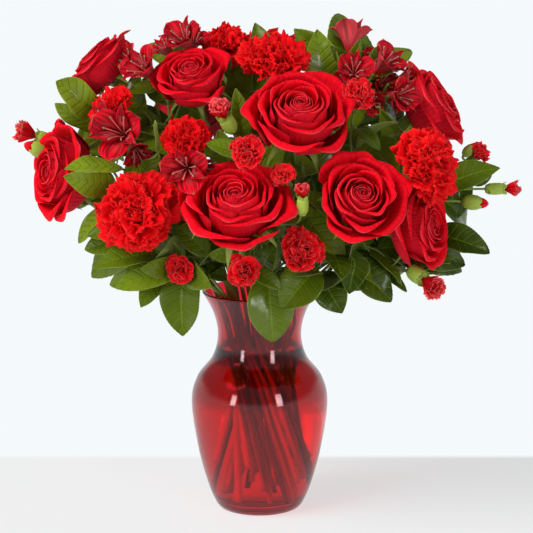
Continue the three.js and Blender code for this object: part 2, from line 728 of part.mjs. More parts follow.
// Pushes points in a plane apart until each pair keeps its distance, inside a circle.
function pushApart(points, reach, distance) {
  for (let round = 0; round < NECK_ROUNDS; round++) {
    points.forEach((p, i) =>
      points.slice(i + 1).forEach((q, k) => {
        const away = p.clone().sub(q);
        const short = distance(i, i + 1 + k) - away.length();
        if (short <= 0) return;
        away.setLength(short / 2);
        p.add(away);
        q.sub(away);
      }),
    );
    points.forEach((p) => p.clampLength(0, reach));
  }
}

// Where every stem stands in the neck. A gathering of stems leans together there, below what it
// carries.
function standInNeck(gatherings) {
  const centres = gatherings.map(({ leans, draw }) => {
    const sum = leans.reduce((total, lean) => total.add(lean), new THREE.Vector2());
    return sum.multiplyScalar(draw / leans.length).clampLength(0, NECK_REACH);
  });
  const width = gatherings.map(({ radius, leans }) => radius * (leans.length > 1 ? CLUSTER.width : 1));
  pushApart(centres, NECK_REACH - 2, (i, j) => width[i] + width[j] + NECK_CLEAR);
  return gatherings.flatMap(({ name, radius, leans }, g) => {
    const ring = leans.length > 1 ? radius * CLUSTER.ring : 0;
    const first = leans.length > 1 ? leans[0].clone().sub(centres[g]).angle() : 0;
    const turns = leans
      .map((lean, i) => ({ i, turn: lean.clone().sub(centres[g]).angle() - first }))
      .sort((p, q) => p.turn - q.turn);
    return turns.map(({ i }, order) => {
      const turn = first + (order / leans.length) * 2 * Math.PI;
      const { x, y } = new THREE.Vector2(ring, 0)
        .rotateAround(new THREE.Vector2(), turn)
        .add(centres[g]);
      return { name, i, radius, neck: new THREE.Vector3(x, y, VASE.neckHeight) };
    });
  });
}

// Moves a cut end inward until it stands clear of the wall.
function keepInVase({ foot, radius }) {
  const reach = vaseRadius(foot.z) - VASE.wall - radius - FOOT_CLEAR;
  const out = Math.hypot(foot.x, foot.y);
  if (out > reach) foot.multiply(new THREE.Vector3(reach / out, reach / out, 1));
}

// Moves the cut ends of two stems apart where the stems pass too close. Stems of one gathering
// lean on one another at the neck and part below it.
function partStems(one, two) {
  const together = one.name === two.name;
  const [mine, theirs] = [new THREE.Vector3(), new THREE.Vector3()];
  const top = together ? LEAN : 0;
  const stretch = ({ neck, foot }) => new THREE.Line3(neck.clone().lerp(foot, top), foot);
  stretch(one).distanceSqToLine3(stretch(two), mine, theirs);
  const needed = one.radius + two.radius + (together ? 0 : STEM_CLEAR);
  const short = needed - mine.distanceTo(theirs);
  if (short <= NEAR_ENOUGH) return false;
  const push = mine.clone().sub(theirs).setLength((short + LEAST_NUDGE) / 2).setZ(0);
  [
    [one, mine, 1],
    [two, theirs, -1],
  ].forEach(([{ neck, foot }, near, way]) => {
    const share = near.distanceTo(neck) / foot.distanceTo(neck);
    foot.addScaledVector(push, way / Math.max(share, LEAST_LEVER));
  });
  return true;
}

// Gives every stem its cut end: the stems spiral out from the neck, cross one another and stand
// about the vase at uneven heights.
function spreadFeet(stems) {
  stems.forEach((stem, n) => {
    const { x, y } = stem.neck;
    const sway = FOOT_SWAY * (((n * 7) % 5) / 2 - 1);
    const turn = radians(FOOT_TWIST + sway);
    const { x: footX, y: footY } = new THREE.Vector2(x, y)
      .multiplyScalar(FOOT_SPREAD)
      .rotateAround(new THREE.Vector2(), turn);
    stem.foot = new THREE.Vector3(footX, footY, FOOT_HEIGHTS[n % FOOT_HEIGHTS.length]);
    keepInVase(stem);
  });
  for (let round = 0; round < FOOT_ROUNDS; round++) {
    let moved = false;
    stems.forEach((one, i) =>
      stems.slice(i + 1).forEach((two) => {
        moved = partStems(one, two) || moved;
      }),
    );
    stems.forEach(keepInVase);
    if (!moved) return stems;
  }
  throw new Error("the stems don't pass one another in the vase");
}

// Points from one place and heading to another, bent past whatever stands in the way.
function route(from, heading, to, arrival, blooms, radius) {
  const reach = from.distanceTo(to);
  const curve = new THREE.CubicBezierCurve3(
    from,
    from.clone().addScaledVector(heading, BEND.leaving * reach),
    to.clone().addScaledVector(arrival, -BEND.arriving * reach),
    to,
  );
  const points = curve.getPoints(STEM_STEPS);
  const free = (n) => n > 0 && n < STEM_STEPS;
  return bendClear({ points, edges: chain(points), free, radius, blooms });
}

const chain = (points) => points.slice(1).map((_, n) => [n, n + 1]);

// ---- Leaves ----------------------------------------------------------------------------------

// How far along the blade each row of a leaf stands, its share of the width, its rise and its fold.
const LEAF_SHAPE = [
  [0.3, 0.94, 0.07, 0.13],
  [0.66, 0.82, 0.08, 0.1],
  [1, 0.06, 0, 0.02],
];

// The edges that leave one point of a net three points wide, along, across and slantwise.
function netEdges(i, j, rows) {
  const n = 3 * i + j;
  const edges = [];
  if (j < 2) edges.push([n, n + 1]);
  if (i < rows - 1) edges.push([n, n + 3]);
  if (j < 2 && i < rows - 1) edges.push([n, n + 4], [n + 1, n + 3]);
  return edges;
}

// A leaf: a flat stalk to the knee, then a folded, arched blade with a waved edge.
function leaf({ start, knee, tip, width, face }, blooms) {
  const normal = facing(face);
  const along = tip.clone().sub(knee);
  const across = along.clone().cross(normal).normalize();
  const up = across.clone().cross(along).normalize();
  const row = (centre, half, fold) =>
    [-1, 0, 1].map((a) =>
      centre
        .clone()
        .addScaledVector(across, a * half)
        .addScaledVector(up, a ? fold : 0),
    );
  const rows = [row(start, 1, 0), row(knee, 1, 0)];
  LEAF_SHAPE.forEach(([t, share, arch, wave]) => {
    const centre = knee.clone().addScaledVector(along, t);
    centre.addScaledVector(up, arch * along.length());
    rows.push(row(centre, (share * width) / 2, wave * width));
  });
  const points = rows.flat();
  const edges = rows.flatMap((_, i) => [0, 1, 2].flatMap((j) => netEdges(i, j, rows.length)));
  bendClear({ points, edges, free: (n) => n > 2, radius: 1, blooms });
  return blade(rows, LEAF);
}
// ---- The bouquet -----------------------------------------------------------------------------

const all = [
  ...ROSES.map((bloom) => ({ ...bloom, kind: "rose" })),
  ...CARNATIONS.map((bloom) => ({ ...bloom, kind: "carnation" })),
  ...SPRAY_BLOOMS.map((bloom) => ({ kind: "spray", ...bloom })),
  ...LILIES.map((bloom) => ({ ...bloom, kind: "lily" })),
];
const named = (name) => all.find((bloom) => bloom.name === name);
const onPlan = ([x, y]) => new THREE.Vector2(x, y);

// How a gathering stands in the neck: below what it carries, drawn to the axis by a share of how
// far out that is.
const DRAW = { single: 0.14, low: 0.34, high: 0.13, leafy: 0.5 };
const LOW_FORK = 280; // a fork below this height counts as low
const GATHERINGS = [
  ...Object.entries({ ...ROSE_STEMS, ...CARNATION_STEMS }).map(([name, blooms]) => ({
    name,
    radius: name.startsWith("rose") ? STEM.rose : STEM.carnation,
    leans: blooms.map((bloom) => onPlan(named(bloom).at)),
    draw: DRAW.single,
  })),
  ...Object.entries({ ...SPRAY_STEMS, ...LILY_STEMS }).map(([name, { fork }]) => ({
    name,
    radius: STEM.branched,
    leans: [onPlan(fork)],
    draw: fork[2] < LOW_FORK ? DRAW.low : DRAW.high,
  })),
  ...Object.entries(BRANCHES).map(([name, { path }]) => ({
    name,
    radius: STEM.leafy,
    leans: [onPlan(path[0])],
    draw: DRAW.leafy,
  })),
];
const standing = spreadFeet(standInNeck(GATHERINGS));
layRim();

// The heading of a stem as it leaves the neck: up, and out in step with its place.
function heading({ x, y }) {
  return new THREE.Vector3(x, y, 0).multiplyScalar(NECK_FLARE / NECK_REACH).setZ(1).normalize();
}

function singleStems(name, names) {
  const stems = standing.filter((stem) => stem.name === name);
  const paths = [];
  const members = stems.flatMap(({ i, radius, neck, foot }) => {
    const bloom = named(names[i]);
    const others = all.filter((other) => other !== bloom);
    const { end, solids, stretches } = stemEnd(bloom);
    const points = route(neck, heading(neck), end, facing(bloom.face), others, radius);
    paths.push([points, radius], ...stretches);
    return [tube([foot, ...points], radius), ...solids];
  });
  paths.forEach(([points, radius]) => lay(points, chain(points), radius));
  return fuse(members);
}

function branchedStem(name, { fork, blooms }) {
  const [{ neck, foot, radius }] = standing.filter((stem) => stem.name === name);
  const point = v3(fork);
  const up = point.clone().sub(neck).normalize();
  const trunk = route(neck, heading(neck), point, up, all, radius);
  const paths = [[trunk, radius]];
  const twigs = blooms.map(named).flatMap((bloom) => {
    const others = all.filter((other) => other !== bloom);
    const { end, solids, stretches } = stemEnd(bloom);
    const points = route(point, up, end, facing(bloom.face), others, STEM.branch);
    paths.push([points, STEM.branch], ...stretches);
    return [tube(points, STEM.branch), ...solids];
  });
  paths.forEach(([points, thick]) => lay(points, chain(points), thick));
  return fuse([tube([foot, ...trunk], radius), ...twigs]);
}

const BRANCH_RISE = 26; // how far a leafy branch runs on from the neck before its first bend
const BRANCH_STEPS = 6;
function leafyBranch(name, { path, leaves }) {
  const [{ neck, foot, radius }] = standing.filter((stem) => stem.name === name);
  const bends = [neck, neck.clone().addScaledVector(heading(neck), BRANCH_RISE), ...path.map(v3)];
  const points = new THREE.CatmullRomCurve3(bends, false, "centripetal").getPoints(BRANCH_STEPS);
  const edges = chain(points);
  bendClear({ points, edges, free: (n) => n > 0, radius, blooms: all });
  const curve = new THREE.CatmullRomCurve3(points, false, "centripetal");
  const blades = leaves.map(({ from, knee, tip, width, face }) =>
    leaf({ start: curve.getPoint(from), knee: v3(knee), tip: v3(tip), width, face }, all),
  );
  lay(points, edges, radius);
  return fuse([tube([foot, ...points], radius), ...blades]);
}

const bouquet = new THREE.Group();
function add(name, solid, material, matrix) {
  const mesh = new THREE.Mesh(geometryOf(solid), material);
  mesh.name = name;
  if (matrix) mesh.applyMatrix4(matrix);
  bouquet.add(mesh);
}

add("vase", vase(), RED_GLASS);
// Each stem's hole in the water runs on a little below its cut end.
const HOLE_RUN = 0.04; // as a share of the stem's length below the neck
const holes = standing.map(({ neck, foot, radius }) =>
  tube([foot.clone().lerp(neck, -HOLE_RUN), neck], radius + HOLE_GAP),
);
add("water", water(holes), CLEAR_WATER);

const BLOOMS = {
  rose: { solid: roseBloom, material: ROSE_RED },
  carnation: {
    solid: (bloom) => frilledBloom({ ...bloom, layered: bloom.radius > 30 ? 3 : 2 }, CARNATION),
    material: CARNATION_RED,
  },
  spray: {
    solid: (bloom) => frilledBloom({ ...bloom, layered: bloom.radius > 14 ? 2 : 1 }, SPRAY),
    material: CARNATION_RED,
  },
  bud: { solid: (bloom) => frilledBloom(bloom, BUD), material: CARNATION_RED },
  lily: { solid: (bloom) => frilledBloom(bloom, LILY), material: LILY_RED },
};
all.forEach((bloom) => {
  const { solid, material } = BLOOMS[bloom.kind];
  add(bloom.name, solid(bloom), material, headFrame(seatOf(bloom), bloom.face, bloom.turn));
});

Object.entries({ ...ROSE_STEMS, ...CARNATION_STEMS }).forEach(([name, names]) =>
  add(name, singleStems(name, names), STEM_GREEN),
);
Object.entries({ ...SPRAY_STEMS, ...LILY_STEMS }).forEach(([name, stem]) =>
  add(name, branchedStem(name, stem), STEM_GREEN),
);
Object.entries(BRANCHES).forEach(([name, branch]) =>
  add(name, leafyBranch(name, branch), LEAF_GREEN),
);

export default bouquet;
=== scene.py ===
"""A bouquet of red roses, carnations, spray carnations and lilies in a red glass vase of water."""

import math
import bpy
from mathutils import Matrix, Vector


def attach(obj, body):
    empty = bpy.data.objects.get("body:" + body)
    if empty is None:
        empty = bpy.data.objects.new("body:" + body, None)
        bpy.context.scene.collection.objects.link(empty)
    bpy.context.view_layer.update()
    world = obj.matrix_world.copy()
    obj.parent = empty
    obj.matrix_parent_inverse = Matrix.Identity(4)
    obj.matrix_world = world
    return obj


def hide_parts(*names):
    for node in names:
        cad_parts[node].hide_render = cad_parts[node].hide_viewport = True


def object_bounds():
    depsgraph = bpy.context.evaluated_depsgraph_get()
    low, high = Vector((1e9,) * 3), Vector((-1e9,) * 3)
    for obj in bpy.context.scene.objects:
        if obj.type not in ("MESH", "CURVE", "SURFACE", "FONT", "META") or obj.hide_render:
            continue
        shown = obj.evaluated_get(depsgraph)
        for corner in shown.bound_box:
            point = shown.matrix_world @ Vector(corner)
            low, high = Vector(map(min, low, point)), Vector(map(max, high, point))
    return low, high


bl_info = {
    "name": "Red Bouquet in a Glass Vase",
    "version": (1, 0, 0),
    "blender": (4, 5, 0),
    "location": "View3D > Sidebar > Bouquet",
    "description": "Builds the blooms, leaves, stems, water and vase of a red bouquet",
    "category": "Object",
}

import bpy
import numpy as np
from bpy.props import FloatProperty, FloatVectorProperty, IntProperty, PointerProperty
from mathutils import Vector

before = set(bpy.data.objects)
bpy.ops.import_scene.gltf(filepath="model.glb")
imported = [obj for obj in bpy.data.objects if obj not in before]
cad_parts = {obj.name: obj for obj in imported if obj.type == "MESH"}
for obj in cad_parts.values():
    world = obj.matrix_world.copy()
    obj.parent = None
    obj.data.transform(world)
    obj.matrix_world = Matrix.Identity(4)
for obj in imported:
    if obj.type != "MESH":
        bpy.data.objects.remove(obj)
CAD_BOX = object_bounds()
MM = 0.001  # the tables below are in millimetres, and the scene is in metres
UP = np.array((0, 0, 1))
GOLDEN_TURN = 137.5  # degrees from one petal to the next
SEEDS = {"stems": 100, "leaves": 200, "lily mates": 300}

# ---- Driving dimensions, as the frame was built from ------------------------------------------

CLEARANCE = 0.3  # half of the least distance between two stems or leaves
VASE = {
    "height": 203,
    "foot": 36,
    "belly": 63,
    "belly_height": 98,
    "neck": 38.4,
    "neck_height": 163,
    "rim": 52.5,
    "wall": 3,
    "floor": 8,
    "sides": 24,
    "rings": 9,
}
WATER_LEVEL = 152
STEM = {"rose": 2.8, "carnation": 2.1, "branch": 1.2, "branched": 2.1, "leafy": 1.9}  # radii
STEM_STEPS = 4  # stretches of a stem from the neck or its fork to its head
STEM_HANDLES = (0.42, 0.36)  # how long it keeps its first and last heading, in shares of its reach
LEAFY_POINTS = 7  # of a leafy branch above the neck
LEAFY_RISE = 26  # how far it goes straight on from there
NECK_REACH = 30.5  # how far from the middle stems stand in the neck
NECK_FLARE = 0.3  # how far out a stem at that reach leans as it leaves the neck
NECK_CLEAR = 1.3  # between gatherings in the neck
FOOT_SPREAD = 1.85  # how much further out than in the neck a cut end stands
FOOT_TWIST = 110  # degrees that the stems spiral between the neck and their cut ends
FOOT_SWAY = 20  # degrees by which that turn varies
FOOT_HEIGHTS = (10, 30, 14, 46, 22)
FOOT_CLEAR = 4  # between a cut end and the wall
STEM_CLEAR = 1  # between stems in the vase
HEAD_CLEAR = 1.5  # between stems or leaves and the heads
TOGETHER = 0.2  # the share of their run in the vase over which stems of one gathering may touch
BUNCH_RING = 0.88  # the ring in which a gathering stands, in shares of a stem's radius
BUNCH_WIDTH = 1.85  # the room that it takes, in the same shares
# How far towards its heads a gathering stands in the neck, as a share of their distance.
DRAWN = {"single": 0.14, "low fork": 0.34, "high fork": 0.13, "leafy": 0.5}
LOW_FORK = 280  # the height below which a fork is low

# Blooms: kind, name, centre of the head, bearing and rise of the way it faces, radius, turn and,
# for a rose, how far open it is.
BLOOMS = [
    ("rose", "rose_centre_low", (-19, -125, 297), (-4, 54), 49, 20, 1),
    ("rose", "rose_centre_high", (34, -98, 368), (3, 48), 47, 60, 0.6),
    ("rose", "rose_right_front", (83, -120, 304), (10, 30), 40, 5, 0.7),
    ("rose", "rose_left_high", (-56, -50, 396), (-18, 54), 36, 40, 0.5),
    ("rose", "rose_right_low", (134, -62, 272), (58, 12), 40, 0, 0.6),
    ("rose", "rose_right_high", (148, -8, 368), (74, 34), 43, 30, 0.6),
    ("rose", "rose_left", (-168, -28, 314), (-60, 12), 44, 15, 0.6),
    ("rose", "rose_left_top", (-137, 5, 404), (-88, 46), 38, 50, 0.6),
    ("rose", "rose_back_left", (-62, 92, 352), (-150, 40), 46, 10, 0.8),
    ("rose", "rose_back_right", (62, 96, 338), (155, 36), 46, 35, 0.8),
    ("carnation", "carnation_left_low", (-103, -104, 292), (-22, 22), 39, 0, 0),
    ("carnation", "carnation_top_left", (-30, 2, 428), (-8, 66), 24, 20, 0),
    ("carnation", "carnation_top", (12, -38, 416), (2, 66), 35, 10, 0),
    ("carnation", "carnation_right", (142, -90, 331), (46, 20), 36, 30, 0),
    ("carnation", "carnation_mid_left", (-62, -84, 352), (-12, 34), 23, 5, 0),
    ("carnation", "carnation_left_high", (-128, -42, 374), (-52, 34), 24, 15, 0),
    ("carnation", "carnation_back", (0, 62, 412), (180, 62), 37, 0, 0),
    ("bud", "spray_bloom_1", (-31, -108, 377), (-40, 50), 13, 0, 0),
    ("spray", "spray_bloom_2", (-9, -137, 347), (-5, 28), 17, 20, 0),
    ("spray", "spray_bloom_3", (85, -88, 389), (18, 42), 18, 40, 0),
    ("bud", "spray_bloom_4", (36, -142, 314), (0, 74), 9, 0, 0),
    ("spray", "spray_bloom_5", (36, -128, 264), (14, 20), 22, 10, 0),
    ("spray", "spray_bloom_6", (-67, -95, 242), (-18, 6), 15, 0, 0),
    ("spray", "spray_bloom_7", (-12, -108, 242), (0, 6), 17, 15, 0),
    ("bud", "spray_bloom_8", (-207, 2, 347), (-80, 24), 14, 0, 0),
    ("bud", "spray_bloom_9", (221, -30, 302), (88, 2), 10, 0, 0),
    ("spray", "spray_bloom_10", (198, -12, 331), (60, 34), 13, 0, 0),
    ("bud", "spray_bloom_11", (147, -78, 226), (44, -22), 15, 25, 0),
    ("spray", "spray_bloom_12", (20, -136, 328), (-6, 30), 12, 0, 0),
    ("lily", "lily_top_left", (-66, -22, 432), (-30, 46), 20, 0, 0),
    ("lily", "lily_left_high", (-99, -42, 408), (-44, 34), 22, 30, 0),
    ("lily", "lily_left", (-117, -84, 357), (-16, 16), 27, 10, 0),
    ("lily", "lily_mid_left", (-60, -125, 332), (-4, 4), 22, 40, 0),
    ("lily", "lily_top_right", (81, 8, 430), (176, 56), 21, 0, 0),
    ("lily", "lily_right_high", (83, -34, 405), (2, 26), 19, 20, 0),
    ("lily", "lily_right", (110, -22, 412), (50, 44), 20, 0, 0),
    ("lily", "lily_right_low", (122, -48, 386), (38, 8), 18, 30, 0),
]
KINDS = {
    "rose": {"centre": 0.42, "cup": (0.15, 13), "half": 0.6},
    "carnation": {"centre": 0.42, "cup": (0.13, 24), "half": 0.6},
    "spray": {"centre": 0.5, "cup": (0.2, 12), "half": 0.7},
    "bud": {"centre": 0.6, "cup": (0.42, 15), "half": 0.9},
    "lily": {"centre": 0.85, "cup": None, "half": 0.85},
}

# Gatherings of single stems, and branched stems with their forks.
SINGLE_STEMS = {
    "rose_stems_front": ["rose_centre_low", "rose_centre_high", "rose_right_front"],
    "rose_stems_left": ["rose_left", "rose_left_high", "rose_left_top"],
    "rose_stems_right": ["rose_right_low", "rose_right_high"],
    "rose_stems_back": ["rose_back_left", "rose_back_right"],
    "carnation_stems_left": ["carnation_left_low", "carnation_mid_left", "carnation_left_high"],
    "carnation_stems_right": ["carnation_right", "carnation_top"],
    "carnation_stems_back": ["carnation_back", "carnation_top_left"],
}
BRANCHED_STEMS = {
    "spray_stem_left": ((-62, -52, 236), ["spray_bloom_6", "spray_bloom_8"]),
    "spray_stem_centre": (
        (-6, -62, 262),
        ["spray_bloom_1", "spray_bloom_2", "spray_bloom_4", "spray_bloom_7", "spray_bloom_12"],
    ),
    "spray_stem_right": (
        (72, -52, 246),
        ["spray_bloom_3", "spray_bloom_5", "spray_bloom_9", "spray_bloom_10", "spray_bloom_11"],
    ),
    "lily_stem_left": ((-74, -34, 330), ["lily_top_left", "lily_left_high", "lily_left"]),
    "lily_stem_centre": ((-36, -58, 300), ["lily_mid_left"]),
    "lily_stem_right": (
        (78, -12, 340),
        ["lily_top_right", "lily_right_high", "lily_right", "lily_right_low"],
    ),
}

# Leafy branches: the points that each passes, and its leaves, as the share of the branch that
# the leaf leaves at, its knee, its tip, its width and the bearing and rise of its upper side.
BRANCHES = {
    "leaves_left_high": (
        [(-66, -8, 270), (-116, -4, 346)],
        [
            (1, (-142, -12, 372), (-178, -34, 397), 36, (-10, 20)),
            (0.9, (-142, -10, 350), (-180, -26, 377), 25, (-12, 10)),
            (0.75, (-92, -62, 316), (-94, -92, 368), 17, (-10, 30)),
        ],
    ),
    "leaves_left": (
        [(-70, -44, 262), (-104, -64, 300)],
        [
            (1, (-116, -78, 326), (-166, -84, 326), 24, (-4, 50)),
            (0.9, (-122, -76, 308), (-166, -90, 321), 27, (-8, 6)),
            (0.8, (-130, -58, 290), (-158, -56, 257), 18, (-20, 30)),
            (0.7, (-112, -52, 262), (-154, -48, 250), 25, (-20, 20)),
        ],
    ),
    "leaves_left_low": (
        [(-52, -50, 232), (-78, -60, 252)],
        [
            (1, (-86, -72, 250), (-143, -88, 241), 30, (-16, 50)),
            (0.9, (-84, -52, 230), (-104, -64, 201), 23, (-20, 10)),
            (0.8, (-66, -74, 238), (-66, -84, 180), 38, (-14, 14)),
            (0.7, (-44, -72, 250), (-78, -66, 280), 22, (-10, 30)),
        ],
    ),
    "leaves_front": (
        [(4, -46, 218), (30, -62, 248)],
        [
            (0.75, (8, -66, 230), (12, -76, 173), 43, (2, 8)),
            (0.85, (50, -80, 240), (20, -94, 206), 40, (0, 30)),
            (0.8, (2, -76, 238), (14, -96, 262), 24, (-6, 20)),
            (1, (36, -84, 290), (72, -98, 246), 32, (8, 20)),
        ],
    ),
    "leaves_right_low": (
        [(48, -38, 226), (78, -50, 246)],
        [
            (0.7, (54, -52, 226), (73, -64, 196), 32, (10, 0)),
            (0.85, (84, -76, 256), (77, -92, 219), 27, (8, 20)),
            (0.9, (80, -58, 238), (116, -66, 207), 34, (14, 30)),
            (1, (100, -52, 236), (130, -58, 214), 13, (20, 40)),
        ],
    ),
    "leaves_right": (
        [(84, -24, 250), (138, -34, 300)],
        [
            (1, (158, -38, 304), (211, -44, 322), 30, (18, 40)),
            (0.8, (150, -34, 262), (204, -44, 246), 30, (20, 36)),
            (0.7, (146, -22, 250), (170, -40, 236), 20, (20, 10)),
            (0.9, (118, -38, 334), (114, -52, 384), 24, (10, 10)),
        ],
    ),
    "leaves_top": (
        [(16, -10, 290), (34, -28, 366)],
        [
            (1, (60, -14, 392), (51, -8, 441), 32, (-6, 14)),
            (0.95, (6, 10, 404), (-4, 10, 446), 28, (-4, 10)),
            (0.85, (90, -58, 346), (124, -80, 314), 42, (8, 28)),
            (0.8, (-14, -58, 348), (-20, -72, 394), 19, (10, 20)),
            (0.7, (-20, -66, 312), (-34, -84, 360), 25, (-8, 20)),
        ],
    ),
    "leaves_back": (
        [(0, 46, 270), (4, 74, 338)],
        [
            (0.75, (-28, 84, 282), (-76, 116, 262), 36, (-160, 40)),
            (0.8, (30, 88, 272), (78, 118, 252), 36, (160, 40)),
            (0.85, (2, 104, 300), (4, 132, 250), 38, (180, 30)),
            (0.95, (-30, 60, 380), (-92, 56, 424), 34, (-160, 50)),
            (0.95, (44, 52, 374), (104, 54, 412), 36, (160, 50)),
            (0.5, (-44, 56, 250), (-86, 92, 214), 34, (-150, 30)),
            (0.5, (46, 60, 246), (92, 84, 216), 34, (150, 30)),
            (0.6, (2, 68, 240), (-2, 88, 190), 38, (180, 10)),
            (0.7, (-66, 44, 318), (-128, 60, 336), 36, (-140, 30)),
            (0.7, (70, 44, 310), (134, 56, 322), 36, (140, 30)),
            (0.45, (-60, 30, 256), (-118, 44, 244), 34, (-130, 30)),
            (0.45, (60, 32, 252), (116, 40, 236), 34, (130, 30)),
            (1, (2, 98, 352), (2, 112, 398), 30, (180, 20)),
        ],
    ),
}
# Smaller lilies that share a stem with the ones above: where, which way, the radius and the turn.
LILY_MATES = (
    ((39, 14, 425), (-30, 50), 14, 10),
    ((113, -6, 408), (55, 40), 17, 40),
    ((127, -18, 397), (75, 15), 15, 0),
    ((117, -30, 383), (60, -15), 14, 20),
    ((-58, -5, 429), (15, 52), 15, 15),
    ((-82, -14, 423), (-55, 45), 15, 50),
    ((-112, -26, 415), (-65, 30), 15, 0),
    ((-130, -58, 365), (-60, 15), 19, 30),
    ((-106, -70, 341), (25, -35), 16, 0),
    ((-49, -100, 329), (35, -20), 14, 25),
    ((102, 4, 411), (20, 60), 14, 5),
    ((109, -4, 392), (35, 10), 16, 20),
    ((99, -30, 379), (10, -10), 13, 40),
    ((75, -20, 394), (-20, 20), 12, 0),
)
# Small closed buds beside the open ones: where each sits, which way it points, and its radius.
SIDE_BUDS = (
    ((-179, 6, 349), (-0.1, -0.4, 0.9), 7),
    ((-198, -8, 334), (-0.8, -0.2, 0.35), 7.5),
    ((191, -28, 289), (0.95, -0.2, -0.05), 7),
    ((188, -12, 334), (0.7, -0.3, 0.7), 5),
)
# Leaves that sprout from the stems inside the bouquet, in millimetres: how long they and their
# stalks are, the lowest they hang, how far apart they keep, and the ball they stay in.
SPROUT = {
    "seed": 7,
    "tries": 9000,
    "stalk": 6,
    "length": (26, 60),
    "low": 216,
    "apart": 7,
    "clear": 1.5,
    "palest": 0.45,
    "heart": (2, -14, 275),
    "reach": (192, 134, 156),
}
# The ones that cover a gap: how far from the gap they start, how far past it they aim, the longest
# and the closest that they may be, and by how much this is eased after a share of the tries.
COVER = {
    "tries": 300,
    "start": (16, 80),
    "aim": (4, 24, 4),
    "longest": 68,
    "apart": 3.5,
    "clear": 0.5,
    "palest": 0.8,
    "eased": 1.4,
    "eased_after": 0.6,
}
# Places between the heads that such a leaf should cover, in millimetres.
GAPS = (
    (178, -20, 286), (113, 0, 397), (-106, -5, 391), (-111, -15, 382), (-125, -50, 226),
    (-111, -40, 230), (-14, -10, 396), (-17, 10, 407), (-158, -30, 349), (-149, -30, 340),
    (113, -30, 374), (37, -30, 324), (37, 20, 423), (-91, 5, 414), (72, 10, 424), (129, -40, 237),
    (-57, 5, 428), (120, -40, 248), (90, 10, 424), (156, -50, 231), (-156, -40, 290), (42, 10, 431),
    (85, -60, 216), (196, -25, 304), (104, 10, 417), (142, -60, 245), (-122, -40, 317),
    (-120, -20, 328), (-133, -20, 335), (-144, -30, 293), (-96, -40, 321), (89, -50, 209),
    (171, -10, 276), (157, -20, 226), (121, -20, 229), (117, 0, 368), (74, 20, 425), (89, 22, 424),
    (-52, -40, 216), (-111, -20, 319), (-135, -30, 229), (-116, 0, 397), (33, -60, 321),
    (146, -20, 236), (-13, -20, 383), (125, 10, 402), (-41, -60, 252), (54, -70, 330),
    (131, -30, 233), (27, -10, 323), (76, -20, 319), (15, -30, 317), (46, 0, 324), (123, 10, 364),
    (-39, -40, 223), (-160, -20, 287), (130, -15, 306), (-46, -30, 330), (8, -10, 321),
    (28, -30, 262), (22, -10, 252), (-98, 0, 381), (-91, -8, 384), (-39, -30, 222), (125, 5, 365),
)
# The rows of three points of a leaf past its knee: the share of the leaf's length, its width there,
# how far it arches up and how far its edges rise, in shares of its length and width.
LEAF_ROWS = ((0.3, 0.94, 0.07, 0.13), (0.66, 0.82, 0.08, 0.1), (1, 0.06, 0, 0.02))
LEAF_DETAIL = (45, 15)  # rows and columns of a leaf's mesh
INNER_DETAIL = (27, 9)  # the same for one inside the bouquet

# ---- Places: where stems and leaves run, past the heads and one another -----------------------


def unit(vector):
    """A vector with a length of 1."""
    return vector / (np.linalg.norm(vector) or 1)


def facing(face):
    """A unit vector from a bearing and a rise in degrees."""
    b, r = map(math.radians, face)
    return np.array((math.sin(b) * math.cos(r), -math.cos(b) * math.cos(r), math.sin(r)))


def vase_outline(steps):
    """The outside of the vase from foot to rim as rows of radius and height, on one curve."""
    foot, belly, neck = VASE["foot"], VASE["belly"], VASE["neck"]
    keys = np.array(
        (
            (foot + 5, 4),
            (foot + 12, 21),
            (belly - 6, 55),
            (belly, VASE["belly_height"]),
            (belly - 5, 122),
            (neck + 5, 142),
            (neck, VASE["neck_height"]),
            (neck + 4, 184),
            (VASE["rim"], VASE["height"]),
        )
    )
    padded = np.vstack((keys[0], keys, keys[-1], keys[-1]))
    made = []
    for place in np.linspace(0, len(keys) - 1, steps + 1):
        n = int(place)
        w = place - n
        p0, p1, p2, p3 = padded[n : n + 4]
        leaving, arriving = (p2 - p0) / 2, (p3 - p1) / 2
        bend = 3 * p2 - 3 * p1 - 2 * leaving - arriving
        made.append(p1 + leaving * w + bend * w**2 + (2 * p1 - 2 * p2 + leaving + arriving) * w**3)
    return np.array(made)


FRAME_OUTLINE = vase_outline(VASE["rings"])


def frame_radius(height):
    """The radius of the frame's vase at a height."""
    return np.interp(height, FRAME_OUTLINE[:, 1], FRAME_OUTLINE[:, 0])


class Bloom:
    """One head: its kind, its size and where it sits."""

    def __init__(self, kind, name, at, face, radius, turn, opened):
        self.kind = kind
        self.name = name
        self.at = np.array(at, float)
        self.axis = facing(face)
        self.radius = radius
        self.turn = math.radians(turn)
        self.opened = opened
        self.cup = KINDS[kind]["cup"]
        self.seat = self.at - self.axis * KINDS[kind]["centre"] * radius
        self.flat = KINDS[kind]["half"] * radius

    def place(self, points):
        """Turns points from the head's own frame, which faces +Z, to its place."""
        turn = Vector((0, 0, 1)).rotation_difference(Vector(self.axis)).to_matrix()
        c, s = math.cos(self.turn), math.sin(self.turn)
        spin = np.array(((c, -s, 0), (s, c, 0), (0, 0, 1)))
        return points @ (np.array(turn) @ spin).T + self.seat

    def stem_end(self):
        """Where the stem ends: halfway down the cup, or just below a head with no cup."""
        return self.seat - self.axis * (0.5 * self.cup[1] if self.cup else 2 * CLEARANCE)


blooms = [Bloom(*row) for row in BLOOMS]
by_name = {bloom.name: bloom for bloom in blooms}


